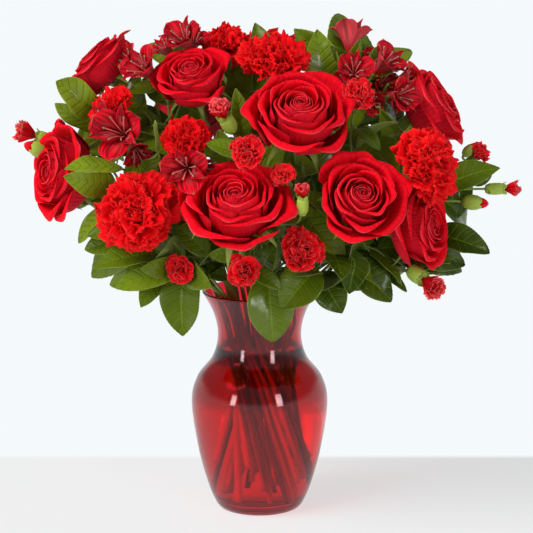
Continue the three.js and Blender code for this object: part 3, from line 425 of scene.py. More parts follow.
def give_way(point, heads, margin):
    """Moves a point that is inside a head's flattened ball out to its surface."""
    wider = 1.05  # than the head itself
    for head in heads:
        offset = point - head.at
        high = offset @ head.axis
        out = offset - head.axis * high
        flat = head.flat + margin
        wide = wider * head.radius + margin
        depth = math.hypot(high / flat, np.linalg.norm(out) / wide)
        if depth < 1:
            away = unit(out / wide**2 + head.axis * high / flat**2)
            point = point + away * (1 - depth) * min(flat, wide)
    return point


def keep_in_rim(point, radius):
    """Holds a point that is inside the vase within the flare of its neck."""
    flare = 0.22
    above = max(0, point[2] - VASE["neck_height"])
    reach = VASE["neck"] - VASE["wall"] - radius - 1 + flare * above
    out = math.hypot(point[0], point[1])
    if point[2] > VASE["height"] or out <= reach or out > VASE["rim"]:
        return point
    return point * (reach / out, reach / out, 1)


def closest(p1, q1, p2, q2):
    """The closest points of one stretch and of each of several others."""
    d1, d2, r = q1 - p1, q2 - p2, p1 - p2
    a = d1 @ d1
    e = np.einsum("ij,ij->i", d2, d2)
    f = np.einsum("ij,ij->i", d2, r)
    c = r @ d1
    b = d2 @ d1
    spread = a * e - b * b
    slant = spread > 1e-12  # where the two don't run side by side
    s = np.where(slant, np.clip((b * f - c * e) / np.where(slant, spread, 1), 0, 1), 0)
    t = (b * s + f) / e
    s = np.where(t < 0, np.clip(-c / a, 0, 1), np.where(t > 1, np.clip((b - c) / a, 0, 1), s))
    t = np.clip(t, 0, 1)
    return p1 + d1 * s[:, None], p2 + d2 * t[:, None]


class Laid:
    """Every stretch of stem or leaf laid so far, for the later ones to keep clear of."""

    starts = np.zeros((0, 3))
    ends = np.zeros((0, 3))
    radii = np.zeros(0)

    @classmethod
    def lay(cls, points, radius):
        points = np.array(points)
        cls.starts = np.vstack((cls.starts, points[:-1]))
        cls.ends = np.vstack((cls.ends, points[1:]))
        cls.radii = np.append(cls.radii, [radius] * (len(points) - 1))


def bend_clear(points, edges, first_free, last_free, radius, heads):
    """Moves the free points of a shape until its edges clear what was laid and the heads."""
    passes = 80
    watch = 6  # how much closer than needed a stretch may come within one pass
    share, least = 0.6, 0.05  # a push is this share of what is missing, and this much more

    def free(n):
        return first_free <= n <= last_free

    for _ in range(passes):
        moved = False
        for pair in edges:
            needed = radius + Laid.radii + 2 * CLEARANCE
            mine, theirs = closest(points[pair[0]], points[pair[1]], Laid.starts, Laid.ends)
            near = np.flatnonzero(np.linalg.norm(mine - theirs, axis=1) < needed + watch)
            for n in near:
                ends = Laid.starts[n : n + 1], Laid.ends[n : n + 1]
                mine, theirs = closest(points[pair[0]], points[pair[1]], *ends)
                apart = mine[0] - theirs[0]
                short = needed[n] - np.linalg.norm(apart)
                if short <= 0:
                    continue
                push = unit(apart) * (share * short + least)
                for k in filter(free, pair):
                    points[k] = points[k] + push
                moved = True
        loose = [n for n in range(len(points)) if free(n)]
        for n in loose:
            points[n] = give_way(points[n], heads, radius + HEAD_CLEAR)
        for pair in edges:
            middle = (points[pair[0]] + points[pair[1]]) / 2
            push = give_way(middle, heads, radius + HEAD_CLEAR) - middle
            for k in filter(free, pair):
                points[k] = points[k] + push
        for n in loose:
            points[n] = keep_in_rim(points[n], radius)
        if not moved:
            break
    return points


def chain(count):
    """The edges of a row of points."""
    return [(n, n + 1) for n in range(count - 1)]


def spline(points, shares):
    """Points on the centripetal curve through some points, at shares of its run."""
    points = np.array(points, float)
    before = 2 * points[0] - points[1]
    after = 2 * points[-1] - points[-2]
    padded = np.vstack((before, points, after))
    made = []
    for share in shares:
        at = min(share * (len(points) - 1), len(points) - 1 - 1e-9)
        n = int(at)
        w = at - n
        p0, p1, p2, p3 = padded[n : n + 4]
        steps = (p0, p1), (p1, p2), (p2, p3)
        t0, t1, t2 = (math.sqrt(np.linalg.norm(b - a)) or 1 for a, b in steps)
        m1 = ((p1 - p0) / t0 - (p2 - p0) / (t0 + t1) + (p2 - p1) / t1) * t1
        m2 = ((p2 - p1) / t1 - (p3 - p1) / (t1 + t2) + (p3 - p2) / t2) * t1
        bend = -3 * p1 + 3 * p2 - 2 * m1 - m2
        made.append(p1 + m1 * w + bend * w**2 + (2 * p1 - 2 * p2 + m1 + m2) * w**3)
    return np.array(made)


def cubic(p0, p1, p2, p3, t):
    """A cubic Bezier curve at one share or at an array of them."""
    s = 1 - t
    return s**3 * p0 + 3 * s**2 * t * p1 + 3 * s * t**2 * p2 + t**3 * p3


def push_apart(points, reach, widths, gap, rounds=500):
    """Pushes points in a plane apart until each pair keeps its distance, inside a circle."""
    for _ in range(rounds):
        for i in range(len(points)):
            for j in range(i + 1, len(points)):
                away = points[i] - points[j]
                short = widths[i] + widths[j] + gap - np.linalg.norm(away)
                if short > 0:
                    step = unit(away) * short / 2
                    points[i] = points[i] + step
                    points[j] = points[j] - step
        for i, p in enumerate(points):
            points[i] = p * min(1, reach / (np.linalg.norm(p) or 1))


def stand_in_neck():
    """Where every stem stands in the neck, by gathering."""
    rows = []
    for name, heads in SINGLE_STEMS.items():
        radius = STEM["rose"] if name.startswith("rose") else STEM["carnation"]
        rows.append((name, radius, [by_name[head].at[:2] for head in heads], DRAWN["single"]))
    for name, (fork, _) in BRANCHED_STEMS.items():
        drawn = DRAWN["low fork" if fork[2] < LOW_FORK else "high fork"]
        rows.append((name, STEM["branched"], [np.array(fork[:2], float)], drawn))
    for name, (path, _) in BRANCHES.items():
        rows.append((name, STEM["leafy"], [np.array(path[0][:2], float)], DRAWN["leafy"]))
    centres = []
    for _, _, leans, drawn in rows:
        centre = sum(leans) * (drawn / len(leans))
        centres.append(centre * min(1, NECK_REACH / (np.linalg.norm(centre) or 1)))
    widths = [radius * (BUNCH_WIDTH if len(leans) > 1 else 1) for _, radius, leans, _ in rows]
    push_apart(centres, NECK_REACH - 2, widths, NECK_CLEAR)
    stems = []
    for (name, radius, leans, _), centre in zip(rows, centres):
        ring = radius * BUNCH_RING if len(leans) > 1 else 0
        angles = [math.atan2(*(lean - centre)[::-1]) % (2 * math.pi) for lean in leans]
        order = sorted(range(len(leans)), key=lambda i: angles[i] - angles[0])
        for place, i in enumerate(order):
            turn = angles[0] + place / len(leans) * 2 * math.pi
            x, y = centre + np.array((math.cos(turn), math.sin(turn))) * ring
            neck = np.array((x, y, VASE["neck_height"]))
            stems.append({"name": name, "i": i, "radius": radius, "neck": neck})
    return stems


def keep_in_vase(stem):
    """Moves a cut end inward until it stands clear of the wall."""
    foot = stem["foot"]
    reach = frame_radius(foot[2]) - VASE["wall"] - stem["radius"] - FOOT_CLEAR
    foot[:2] *= min(1, reach / math.hypot(foot[0], foot[1]))


def part_stems(one, two):
    """Moves the cut ends of two stems apart where the stems pass too close."""
    close_enough, least = 0.02, 0.05  # what may be missing, and what a push adds to it
    lever = 0.3  # the least share of the stem's run by which a push is made up at its end
    together = one["name"] == two["name"]
    ends = []
    for stem in (one, two):
        neck, foot = stem["neck"], stem["foot"]
        ends += [neck + (foot - neck) * (TOGETHER if together else 0), foot]
    mine, theirs = closest(ends[0], ends[1], ends[2][None], ends[3][None])
    apart = mine[0] - theirs[0]
    needed = one["radius"] + two["radius"] + (0 if together else STEM_CLEAR)
    short = needed - np.linalg.norm(apart)
    if short <= close_enough:
        return False
    push = unit(apart) * (short + least) / 2
    for stem, near, way in ((one, mine[0], 1), (two, theirs[0], -1)):
        neck, foot = stem["neck"], stem["foot"]
        share = np.linalg.norm(near - neck) / np.linalg.norm(foot - neck)
        foot[:2] += push[:2] * way / max(share, lever)
    return True


def spread_feet(stems):
    """Gives every stem its cut end: the stems spiral out and cross one another in the vase."""
    for n, stem in enumerate(stems):
        sway = n * 7 % 5 / 2 - 1  # from -1 to 1, and never alike for neighbours
        turn = math.radians(FOOT_TWIST + FOOT_SWAY * sway)
        x, y = stem["neck"][:2] * FOOT_SPREAD
        c, s = math.cos(turn), math.sin(turn)
        height = FOOT_HEIGHTS[n % len(FOOT_HEIGHTS)]
        stem["foot"] = np.array((x * c - y * s, x * s + y * c, height))
        keep_in_vase(stem)
    moved = True
    while moved:
        moved = False
        for i, one in enumerate(stems):
            for two in stems[i + 1 :]:
                moved = part_stems(one, two) or moved
        for stem in stems:
            keep_in_vase(stem)
    return stems


def heading(neck):
    """The way a stem leaves the neck: up, and out in step with its place."""
    return unit(np.array((*neck[:2] * NECK_FLARE / NECK_REACH, 1)))


def route(start, way, end, arrival, heads, radius):
    """Points from one place and heading to another, bent past whatever stands in the way."""
    reach = np.linalg.norm(end - start)
    leaving, arriving = STEM_HANDLES
    handles = start + way * leaving * reach, end - arrival * arriving * reach
    points = [cubic(start, *handles, end, n / STEM_STEPS) for n in range(STEM_STEPS + 1)]
    return bend_clear(points, chain(STEM_STEPS + 1), 1, STEM_STEPS - 1, radius, heads)


def lay_rim():
    """Lays the lip of the vase, for stems and leaves to keep clear of."""
    turns = np.linspace(0, 2 * math.pi, VASE["sides"] + 1)
    slope = 0.45  # how far in the flare goes with each millimetre down
    for drop in (0, 11):
        out = VASE["rim"] - VASE["wall"] / 2 - slope * drop
        height = np.full_like(turns, VASE["height"] - drop)
        Laid.lay(np.stack((np.cos(turns) * out, np.sin(turns) * out, height), 1), VASE["wall"])


def net_edges(rows):
    """The edges of a net three points wide: along it, across it and slantwise."""
    edges = []
    for i in range(rows):
        for j in range(3):
            n = 3 * i + j
            edges += [(n, n + 1)] * (j < 2) + [(n, n + 3)] * (i < rows - 1)
            edges += [(n, n + 4), (n + 1, n + 3)] * (j < 2 and i < rows - 1)
    return edges


def net_row(centre, half, rise, across, up):
    """A row of a leaf's net: its left edge, its middle and its right edge."""
    return [centre + across * half * a + up * (rise if a else 0) for a in (-1, 0, 1)]


def leaf_net(start, knee, tip, width, face):
    """The rows of three points that a leaf's shape follows, from its branch to its tip."""
    knee, tip = np.array(knee, float), np.array(tip, float)
    along = tip - knee
    across = unit(np.cross(along, facing(face)))
    up = unit(np.cross(across, along))
    points = net_row(start, 1, 0, across, up) + net_row(knee, 1, 0, across, up)
    for t, share, arch, rise in LEAF_ROWS:
        centre = knee + along * t + up * arch * np.linalg.norm(along)
        points += net_row(centre, share * width / 2, rise * width, across, up)
    edges = net_edges(len(points) // 3)
    bend_clear(points, edges, 3, len(points) - 1, 1, blooms)
    return np.array(points).reshape(-1, 3, 3)


def lay_bouquet():
    """Every stem as its cut end, its points and its radius, and every leaf as its net."""
    standing = spread_feet(stand_in_neck())
    lay_rim()
    stems = {}
    leaves = {}
    for name, heads in SINGLE_STEMS.items():
        stems[name] = []
        for stem in (s for s in standing if s["name"] == name):
            bloom = by_name[heads[stem["i"]]]
            others = [other for other in blooms if other is not bloom]
            way = heading(stem["neck"])
            ends = stem["neck"], way, bloom.stem_end(), bloom.axis
            points = route(*ends, others, stem["radius"])
            stems[name].append((stem["foot"], points, stem["radius"], bloom))
        lay_all(stems[name])
    for name, (fork, heads) in BRANCHED_STEMS.items():
        stem = next(s for s in standing if s["name"] == name)
        fork = np.array(fork, float)
        up = unit(fork - stem["neck"])
        ends = stem["neck"], heading(stem["neck"]), fork, up
        trunk = route(*ends, blooms, stem["radius"])
        stems[name] = [(stem["foot"], trunk, stem["radius"], None)]
        for bloom in (by_name[head] for head in heads):
            others = [other for other in blooms if other is not bloom]
            points = route(fork, up, bloom.stem_end(), bloom.axis, others, STEM["branch"])
            stems[name].append((None, points, STEM["branch"], bloom))
        lay_all(stems[name])
    for name, (path, rows) in BRANCHES.items():
        stem = next(s for s in standing if s["name"] == name)
        bends = [stem["neck"], stem["neck"] + heading(stem["neck"]) * LEAFY_RISE, *path]
        points = list(spline(bends, np.linspace(0, 1, LEAFY_POINTS)))
        bend_clear(points, chain(LEAFY_POINTS), 1, LEAFY_POINTS - 1, stem["radius"], blooms)
        stems[name] = [(stem["foot"], points, stem["radius"], None)]
        starts = spline(points, [row[0] for row in rows])
        leaves[name] = [leaf_net(start, *row[1:]) for start, row in zip(starts, rows)]
        Laid.lay(points, stem["radius"])
    return stems, leaves


def lay_all(stems):
    """Lays a gathering's stems and the cups under its heads, for the next ones to keep clear of."""
    for _, points, radius, bloom in stems:
        Laid.lay(points, radius)
        if bloom and bloom.cup:
            Laid.lay([bloom.stem_end(), bloom.seat], bloom.cup[0] * bloom.radius + 1)


stem_runs, leaf_nets = lay_bouquet()

# ---- Skins: meshes grown out of sheets, tubes and turned solids -------------------------------

THICK = {"petal": 0.3, "lily": 0.4, "sepal": 0.5}
BORDER = 0.35  # how thick a sheet is along its border, as a share of that


def turned_by(angle):
    """The ways out and sideways at an angle round a head."""
    c, s = math.cos(angle), math.sin(angle)
    return np.array((c, s, 0)), np.array((-s, c, 0))


def on_ways(angle, out, beside, up):
    """A grid of points from how far out, sideways and up each is, at an angle round a head."""
    ways = turned_by(angle)
    return out[..., None] * ways[0] + beside[..., None] * ways[1] + up[..., None] * UP


def in_place(place, grid):
    """A grid of points, each put in its place."""
    return place(grid.reshape(-1, 3)).reshape(grid.shape)


def steepness(r, z):
    """How an outline goes outward and upward from each of its points, as two shares."""
    dr, dz = np.gradient(r, axis=0), np.gradient(z, axis=0)
    steep = np.hypot(dr, dz) + 1e-9
    return dr / steep, dz / steep


def grid_normals(grid):
    """The upper side's way at each point of a grid."""
    normals = np.cross(np.gradient(grid, axis=1), np.gradient(grid, axis=0))
    return normals / (np.linalg.norm(normals, axis=2, keepdims=True) + 1e-9)


class Skin:
    """One mesh in the making. Each point carries a mark: across, along, tone and underside."""

    def __init__(self):
        self.points, self.marks, self.faces = [], [], []
        self.count = 0

    def add(self, points, marks, faces):
        self.points.append(points)
        self.marks.append(np.broadcast_to(marks, (len(points), 4)))
        self.faces += [tuple(face) for face in (faces + self.count).tolist()]
        self.count += len(points)

    def close(self, centre, ring, mark):
        """Fans a ring of the latest points to a new centre point."""
        first = self.count
        self.add(np.array([centre]), np.array([mark]), np.zeros((0, 3), int))
        self.faces += [(a, b, first) for a, b in zip(ring, np.roll(ring, -1))]

    def sheet(self, grid, thickness, across, along, tone):
        """A thin closed sheet over a grid of points, thinner towards its border."""
        rows, columns = grid.shape[:2]
        normals = grid_normals(grid)
        full = np.full((rows, columns, 1), thickness)
        full[-1] *= BORDER
        full[:, (0, -1)] *= BORDER
        over = (grid + normals * full / 2).reshape(-1, 3)
        under = (grid - normals * full / 2).reshape(-1, 3)
        size = rows * columns
        n = np.arange(size).reshape(rows, columns)
        quads = np.stack((n[:-1, :-1], n[:-1, 1:], n[1:, 1:], n[1:, :-1]), -1).reshape(-1, 4)
        rim = np.concatenate((n[0, :-1], n[:-1, -1], n[-1, :0:-1], n[:0:-1, 0]))
        after = np.roll(rim, -1)
        border = np.stack((rim, rim + size, after + size, after), -1)
        faces = np.vstack((quads, quads[:, ::-1] + size, border))
        across, along = (np.broadcast_to(a, (rows, columns)).ravel() for a in (across, along))
        tones = np.full(size, tone)
        upper = np.stack((across, along, tones, np.zeros(size)), 1)
        lower = np.stack((across, along, tones, np.ones(size)), 1)
        self.add(np.vstack((over, under)), np.vstack((upper, lower)), faces)

    def tube(self, path, radii, tone, sides=10, mark=0.0):
        """A closed round tube along a path, with a radius for each of its points."""
        path = np.asarray(path, float)
        ways = np.gradient(path, axis=0)
        ways /= np.linalg.norm(ways, axis=1, keepdims=True)
        side = unit(np.cross(ways[0], (0.3, 0.9, 0.1)))  # any way that no path starts along
        turns = np.arange(sides) / sides * 2 * math.pi
        cosines, sines = np.cos(turns)[:, None], np.sin(turns)[:, None]
        rings = []
        for place, way, radius in zip(path, ways, radii):
            side = unit(side - way * (side @ way))
            rings.append(place + radius * (cosines * side + sines * np.cross(way, side)))
        self.rings(np.array(rings), path[0], path[-1], tone, mark)

    def rings(self, rings, bottom, top, tone, mark=0.0):
        """A closed skin over rings of points, from a point below them to one above."""
        rows, sides = rings.shape[:2]
        size = rows * sides
        along = np.repeat(np.linspace(0, 1, rows), sides)
        across = np.tile(np.arange(sides) / sides, rows)
        marks = np.stack((across, along, np.full(size, tone), np.full(size, mark)), 1)
        n = np.arange(size).reshape(rows, sides)
        right = np.roll(n, -1, axis=1)
        quads = np.stack((n[:-1], right[:-1], right[1:], n[1:]), -1).reshape(-1, 4)
        first = self.count
        self.add(rings.reshape(-1, 3), marks, quads)
        self.close(bottom, (n[0] + first)[::-1], (0, 0, tone, mark))
        self.close(top, n[-1] + first, (0, 1, tone, mark))

    def turned(self, profile, place, tone, sides=20, ribs=0, depth=0.0):
        """A round solid from [radius, height] pairs, ribbed if asked, and put in its place."""
        turns = np.arange(sides) / sides * 2 * math.pi
        swell = 1 + depth * np.cos(turns * ribs)
        rings = [
            np.stack((np.cos(turns) * r * swell, np.sin(turns) * r * swell, np.full(sides, z)), 1)
            for r, z in profile
        ]
        ends = place(np.array([[0, 0, profile[0][1]], [0, 0, profile[-1][1]]], float))
        self.rings(np.array([place(ring) for ring in rings]), ends[0], ends[1], tone)

    def piece(self, name, material, nodes, slot):
        """Makes the object, which rides on the vase's body and replaces nodes of the frame."""
        mesh = bpy.data.meshes.new(name)
        mesh.from_pydata(np.vstack(self.points) * MM, [], self.faces)
        mesh.polygons.foreach_set("use_smooth", np.ones(len(mesh.polygons), bool))
        marks = mesh.attributes.new("mark", "FLOAT_COLOR", "POINT")
        marks.data.foreach_set("color", np.vstack(self.marks).astype(np.float32).ravel())
        mesh.materials.append(material)
        mesh.validate()
        mesh.update()
        made = bpy.data.objects.new(name, mesh)
        bpy.context.scene.collection.objects.link(made)
        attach(made, "root")
        if nodes:
            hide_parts(*nodes)


def outline(points, count=48):
    """A table of shares and places along a smooth curve through [radius, height] pairs."""
    flat = np.array(points, float)
    curve = spline(np.c_[flat, np.zeros(len(flat))], np.linspace(0, 1, count))[:, :2]
    run = np.append(0, np.cumsum(np.linalg.norm(np.diff(curve, axis=0), axis=1)))
    return run / run[-1], curve


def along_outline(table, shares):
    """Radius and height at shares of an outline's run."""
    run, curve = table
    return np.interp(shares, run, curve[:, 0]), np.interp(shares, run, curve[:, 1])


def between(share, *stops):
    """A value that changes from stop to stop, given as (share, value) pairs."""
    return float(np.interp(share, [s for s, _ in stops], [v for _, v in stops]))


# ---- Roses ------------------------------------------------------------------------------------

# How a rose's petals change from its tight middle at share 0 to its spread rim at share 1, in
# (share, value) pairs. "half" is half the angle that a petal spans, and lengths are in shares of
# the head's radius.
ROSE_PETAL = {
    "rim": (
        (0, 0.03), (0.28, 0.15), (0.52, 0.38), (0.72, 0.62), (0.84, 0.8), (0.88, 0.88), (1, 0.98),
    ),
    "top": ((0, 0.92), (0.28, 0.98), (0.52, 1), (0.72, 0.94), (0.84, 0.86), (0.88, 0.8)),
    "belly": ((0, 0.14), (0.28, 0.26), (0.52, 0.42), (0.72, 0.56), (0.84, 0.66), (1, 0.78)),
    "lip": ((0, 0), (0.28, 0.008), (0.52, 0.025), (0.72, 0.05), (0.88, 0.075), (1, 0.06)),
    "half": ((0, 150), (0.28, 105), (0.56, 72), (0.8, 58), (1, 50)),
    "lean": ((0, 0.02), (0.3, 0.035), (0.7, 0.05), (1, 0.05)),
    "point": ((0, 0.02), (0.5, 0.06), (0.8, 0.13), (1, 0.2)),
    "swing": ((0, 0.003), (0.5, 0.012), (1, 0.04)),
    "curl": ((0, 0), (0.56, 0.04), (1, 0.1)),
    "crest": ((0, 0), (0.4, 0.015), (0.7, 0.06), (1, 0.12)),
}
ROSE_GRID = (17, 21)


def rose_petal(skin, bloom, share, phi, rng):
    """One petal, from the tight middle of the rose at share 0 to its spread rim at share 1."""
    tall = 1.12 - 0.22 * bloom.opened
    low = 0.72 - 0.12 * bloom.opened

    def at(name, *more):
        return between(share, *ROSE_PETAL[name], *more)

    belly, lip = at("belly"), at("lip")
    rim = at("rim") * (1 + rng.uniform(-0.09, 0.05))
    top = at("top", (1, low)) * ((1 + rng.uniform(-0.055, 0.045)) * tall)
    side = outline(
        (
            (0.12, 0.12),
            (0.62 * belly + 0.05, 0.14 + 0.14 * (1 - share)),
            (belly, 0.5 * top),
            (0.45 * belly + 0.55 * rim, 0.82 * top),
            (rim, top),
            (rim + 0.9 * lip, top - 0.1 * lip),
            (rim + 1.4 * lip, top - 0.7 * lip),
        )
    )
    half = math.radians(at("half")) * (1 + rng.uniform(-0.1, 0.1))
    point = at("point") + rng.uniform(-0.02, 0.05)
    rows, columns = ROSE_GRID
    u = np.linspace(-1, 1, columns)[None, :]
    v = (1 - (1 - np.linspace(0, 1, rows)) ** 1.35)[:, None]
    peak = rng.uniform(-0.3, 0.3)
    t = v * (1 - point * np.abs(u - peak * (1 - u**2)) ** 2.4)
    r, z = along_outline(side, t)
    root = 0.25 + 0.3 * (1 - share)
    width = half * (root + (1 - root) * np.sin(np.clip(t * 1.25, 0, 1) * math.pi / 2))
    phase = rng.uniform(0, 2 * math.pi, 3)
    swing = at("swing")
    waves = np.sin(1.3 * math.pi * u + phase[0]) + 0.45 * np.sin(3.1 * math.pi * u + phase[1])
    curl = at("curl") * np.abs(u) ** 4 * v**3
    crest = at("crest") * rng.uniform(0.2, 1.2)
    crest = crest * np.exp(-((u - peak) ** 2) / 0.04) * v**5
    r = r + at("lean") * u * np.minimum(1, 3 * v) + swing * v**3 * waves - 0.3 * curl + crest
    z = z - curl + 0.7 * swing * v**2 * np.sin(1.1 * math.pi * u + phase[2]) - 0.3 * crest
    turn = phi + u * width
    grid = np.stack((np.cos(turn) * r, np.sin(turn) * r, z), -1) * bloom.radius
    skin.sheet(in_place(bloom.place, grid), THICK["petal"], u, t, rng.uniform(0, 1))


def build_rose(bloom, settings, seed):
    """One rose, from its tight middle out."""
    rng = np.random.default_rng(seed)
    skin = Skin()
    count = settings.rose_petals
    for n in range(count):
        share = n / (count - 1)
        phi = math.radians(GOLDEN_TURN * n + rng.uniform(-9, 9))
        rose_petal(skin, bloom, share, phi, rng)
    paint(skin, f"{bloom.name}_petals", "rose_petal", [bloom.name], settings)


# ---- Carnations and spray carnations ----------------------------------------------------------

# How a toothed petal changes from the crumpled middle of its head at share 0 to the rim at share 1,
# in (share, value) pairs. "rise" ends at the droop of its form.
FRILLED_PETAL = {
    "rise": ((0, 80), (0.4, 60), (0.7, 34)),
    "reach": ((0, 0.8), (0.5, 0.92), (1, 1)),
    "width": ((0, 0.8), (0.5, 1), (1, 1.1)),
    "ruffle": ((0, 1.25), (0.7, 1.1), (1, 0.75)),
    "fold": ((0, 0.5), (0.6, 0.2), (1, 0.04)),
    "twist": ((0, 0.9), (0.6, 0.5), (1, 0.18)),
}
WHORL_SHARE = 0.62  # where the petals of the inner whorls end and those of the rim start


def frilled_petal(skin, place, share, phi, rng, form):
    """One toothed, ruffled petal, from the crumpled middle at share 0 to the rim at share 1."""

    def at(name, *more):
        return between(share, *FRILLED_PETAL[name], *more)

    rise = math.radians(at("rise", (1, form["droop"]))) + rng.uniform(-0.16, 0.16)
    dome = 1 + rng.uniform(-form["uneven"], 0.06)
    reach = dome * math.cos(rise) * at("reach")
    height = form["base"] + dome * form["height"] * math.sin(max(rise, -0.3))
    side = outline(
        (
            (0.05, 0.02),
            (0.1 + 0.02 * share, 0.26),
            (0.35 * reach + 0.08, 0.55 * height + 0.12),
            (0.75 * reach, 0.97 * height + 0.03),
            (reach, height),
        )
    )
    rows, columns = form["grid"]
    u = np.linspace(-1, 1, columns)[None, :]
    v = np.linspace(0, 1, rows)[:, None]
    tooth = rng.uniform(0.4, 1.3, columns)[None, :] * (np.arange(columns) % 2)[None, :]
    t = v * (1 - 0.16 * u**2) - tooth * form["teeth"] * np.clip((v - 0.86) / 0.14, 0, 1)
    r, z = along_outline(side, t)
    outward, upward = steepness(r, z)
    half = form["width"] * at("width") * rng.uniform(0.85, 1.15)
    width = half * (0.1 + 0.9 * np.clip((v - 0.12) / 0.75, 0, 1) ** 0.8)
    phase = rng.uniform(0, 2 * math.pi, 4)
    waves = rng.uniform(1.3, 2.3) * math.pi * u
    grown = np.clip((v - 0.2) / 0.8, 0, 1) ** 1.4
    frill = np.sin(waves + phase[0]) + 0.5 * np.sin(2.2 * waves + phase[1])
    frill = frill + 0.35 * np.sin(4.5 * waves + phase[2]) * grown
    fold = at("fold") * rng.uniform(-0.3, 1.2) * np.abs(u) * grown
    lift = form["ruffle"] * at("ruffle") * grown * frill + fold * half
    twist = at("twist") * rng.uniform(-1, 1) * v
    x = u * width + 0.05 * np.sin(2 * math.pi * v * rng.uniform(0.6, 1.2) + phase[3]) * v
    lift = lift + x * np.sin(twist)
    x = x * np.cos(twist)
    cup = 0.3 * (u * width) ** 2 / (0.3 + reach)
    grid = on_ways(phi, r - upward * lift - cup, x, z + outward * lift)
    skin.sheet(in_place(place, grid), THICK["petal"], u, v + 0 * u, rng.uniform(0, 1))


def whorl(bloom, bearing, tilt, offset, size):
    """Places the points of a lesser whorl of petals, leaning out from the head's middle."""
    c, s = math.cos(tilt), math.sin(tilt)
    out, beside = turned_by(bearing)
    turned = np.array((out * c - UP * s, beside, out * s + UP * c))

    def place(points):
        flat = np.stack((points @ out, points @ beside, points[:, 2]), 1) * size
        return bloom.place((flat @ turned + out * offset) * bloom.radius)

    return place


# How a head of toothed petals is made up: the petals of its rim, the whorls inside it, the petals
# of each whorl, and the shape of a petal in shares of the head's radius.
FORMS = {
    "carnation": {
        "rim": 15, "whorls": 5, "each": 7, "grid": (11, 29), "uneven": 0.12, "base": 0.3,
        "height": 0.66, "droop": -2, "width": 0.5, "ruffle": 0.1, "teeth": 0.05,
    },
    "spray": {
        "rim": 10, "whorls": 3, "each": 6, "grid": (9, 19), "uneven": 0.26, "base": 0.42,
        "height": 0.6, "droop": 6, "width": 0.5, "ruffle": 0.1, "teeth": 0.07,
    },
    "bud": {
        "rim": 9, "whorls": 1, "each": 6, "grid": (9, 15), "uneven": 0.14, "base": 0.5,
        "height": 1.3, "droop": 44, "width": 0.54, "ruffle": 0.09, "teeth": 0.08,
    },
}


def build_frilled(bloom, settings, seed):
    """One carnation, spray carnation or bud: the rim of its head, and the whorls inside it."""
    rng = np.random.default_rng(seed)
    skin = Skin()
    form = FORMS[bloom.kind]

    def whole_head(points):
        return bloom.place(points * bloom.radius)

    for n in range(form["rim"]):
        share = between(n, (0, 1), (form["rim"], WHORL_SHARE))
        phi = math.radians(GOLDEN_TURN * n + rng.uniform(-14, 14))
        frilled_petal(skin, whole_head, share, phi, rng, form)
    for n in range(form["whorls"]):
        bearing = n / form["whorls"] * 2 * math.pi + rng.uniform(-0.3, 0.3)
        middle = n == 0
        tilt = rng.uniform(0, 0.15) if middle else rng.uniform(0.3, 0.6)
        offset = 0.03 if middle else rng.uniform(0.12, 0.2)
        place = whorl(bloom, bearing, tilt, offset, rng.uniform(0.84, 0.98))
        for k in range(form["each"]):
            share = WHORL_SHARE * k / form["each"]
            phi = math.radians(GOLDEN_TURN * k + rng.uniform(-25, 25)) + bearing
            frilled_petal(skin, place, share, phi, rng, form)
    paint(skin, f"{bloom.name}_petals", f"{bloom.kind}_petal", [bloom.name], settings)


# ---- Lilies -----------------------------------------------------------------------------------

# The two sorts of petals of a lily, in shares of its radius: how far they flare, how high they
# end, half their width, how hollow they are, how far they stand in front, their tone, and their
# width along LILY_STOPS.
LILY_STOPS = (0, 0.2, 0.45, 0.65, 0.8, 0.9, 0.96, 1)
LILY_PETALS = {
    "broad": {
        "flare": 1, "end": 1.42, "half": 0.5, "hollow": 0.42, "front": 0, "tone": 0,
        "widths": (0.14, 0.26, 0.62, 0.92, 1, 0.86, 0.6, 0.1),
    },
    "narrow": {
        "flare": 0.92, "end": 1.36, "half": 0.27, "hollow": 0.2, "front": 0.1, "tone": 0.6,
        "widths": (0.2, 0.3, 0.7, 1, 0.84, 0.5, 0.24, 0.04),
    },
}
LILY_GRID = (19, 13)
FILAMENT, ANTHER = 2, 3  # what these parts of a lily are marked with, in place of the underside


def lily_petal(skin, bloom, phi, sort, rng):
    """One petal of a lily, broad and rounded or narrow and pointed, flared from a funnel."""
    petal = LILY_PETALS[sort]
    flare = rng.uniform(0.9, 1.02) * petal["flare"]
    side = outline(
        (
            (0.06, 0.02),
            (0.13, 0.34),
            (0.32, 0.8),
            (0.62 * flare, 1.18),
            (0.9 * flare, 1.38),
            (flare, petal["end"]),
        )
    )
    rows, columns = LILY_GRID
    u = np.linspace(-1, 1, columns)[None, :]
    v = np.linspace(0, 1, rows)[:, None]
    half = petal["half"] * np.interp(v, LILY_STOPS, petal["widths"])
    r, z = along_outline(side, v * (1 - 0.05 * u**2))
    phase = rng.uniform(0, 2 * math.pi, 3)
    lift = petal["hollow"] * half * u**2 * (1 - 0.7 * np.clip((v - 0.6) / 0.4, 0, 1))
    lift = lift + 0.035 * v**2 * np.sin(1.6 * math.pi * u + phase[0])
    lift = lift + 0.05 * v**3 * np.sin(2 * math.pi * v + phase[1]) * u
    lift = lift - 0.04 * np.exp(-(u**2) / 0.03) * v * (1 - v) * 4
    lift = lift + petal["front"] * np.clip((v - 0.2) / 0.3, 0, 1)
    outward, upward = steepness(r, z)
    x = u * half + 0.06 * v**2 * math.sin(phase[2])
    grid = on_ways(phi, r - upward * lift, x, z + outward * lift) * bloom.radius
    tone = 0.25 * rng.uniform(0, 1) + petal["tone"]
    skin.sheet(in_place(bloom.place, grid), THICK["lily"], u, v + 0 * u, tone)


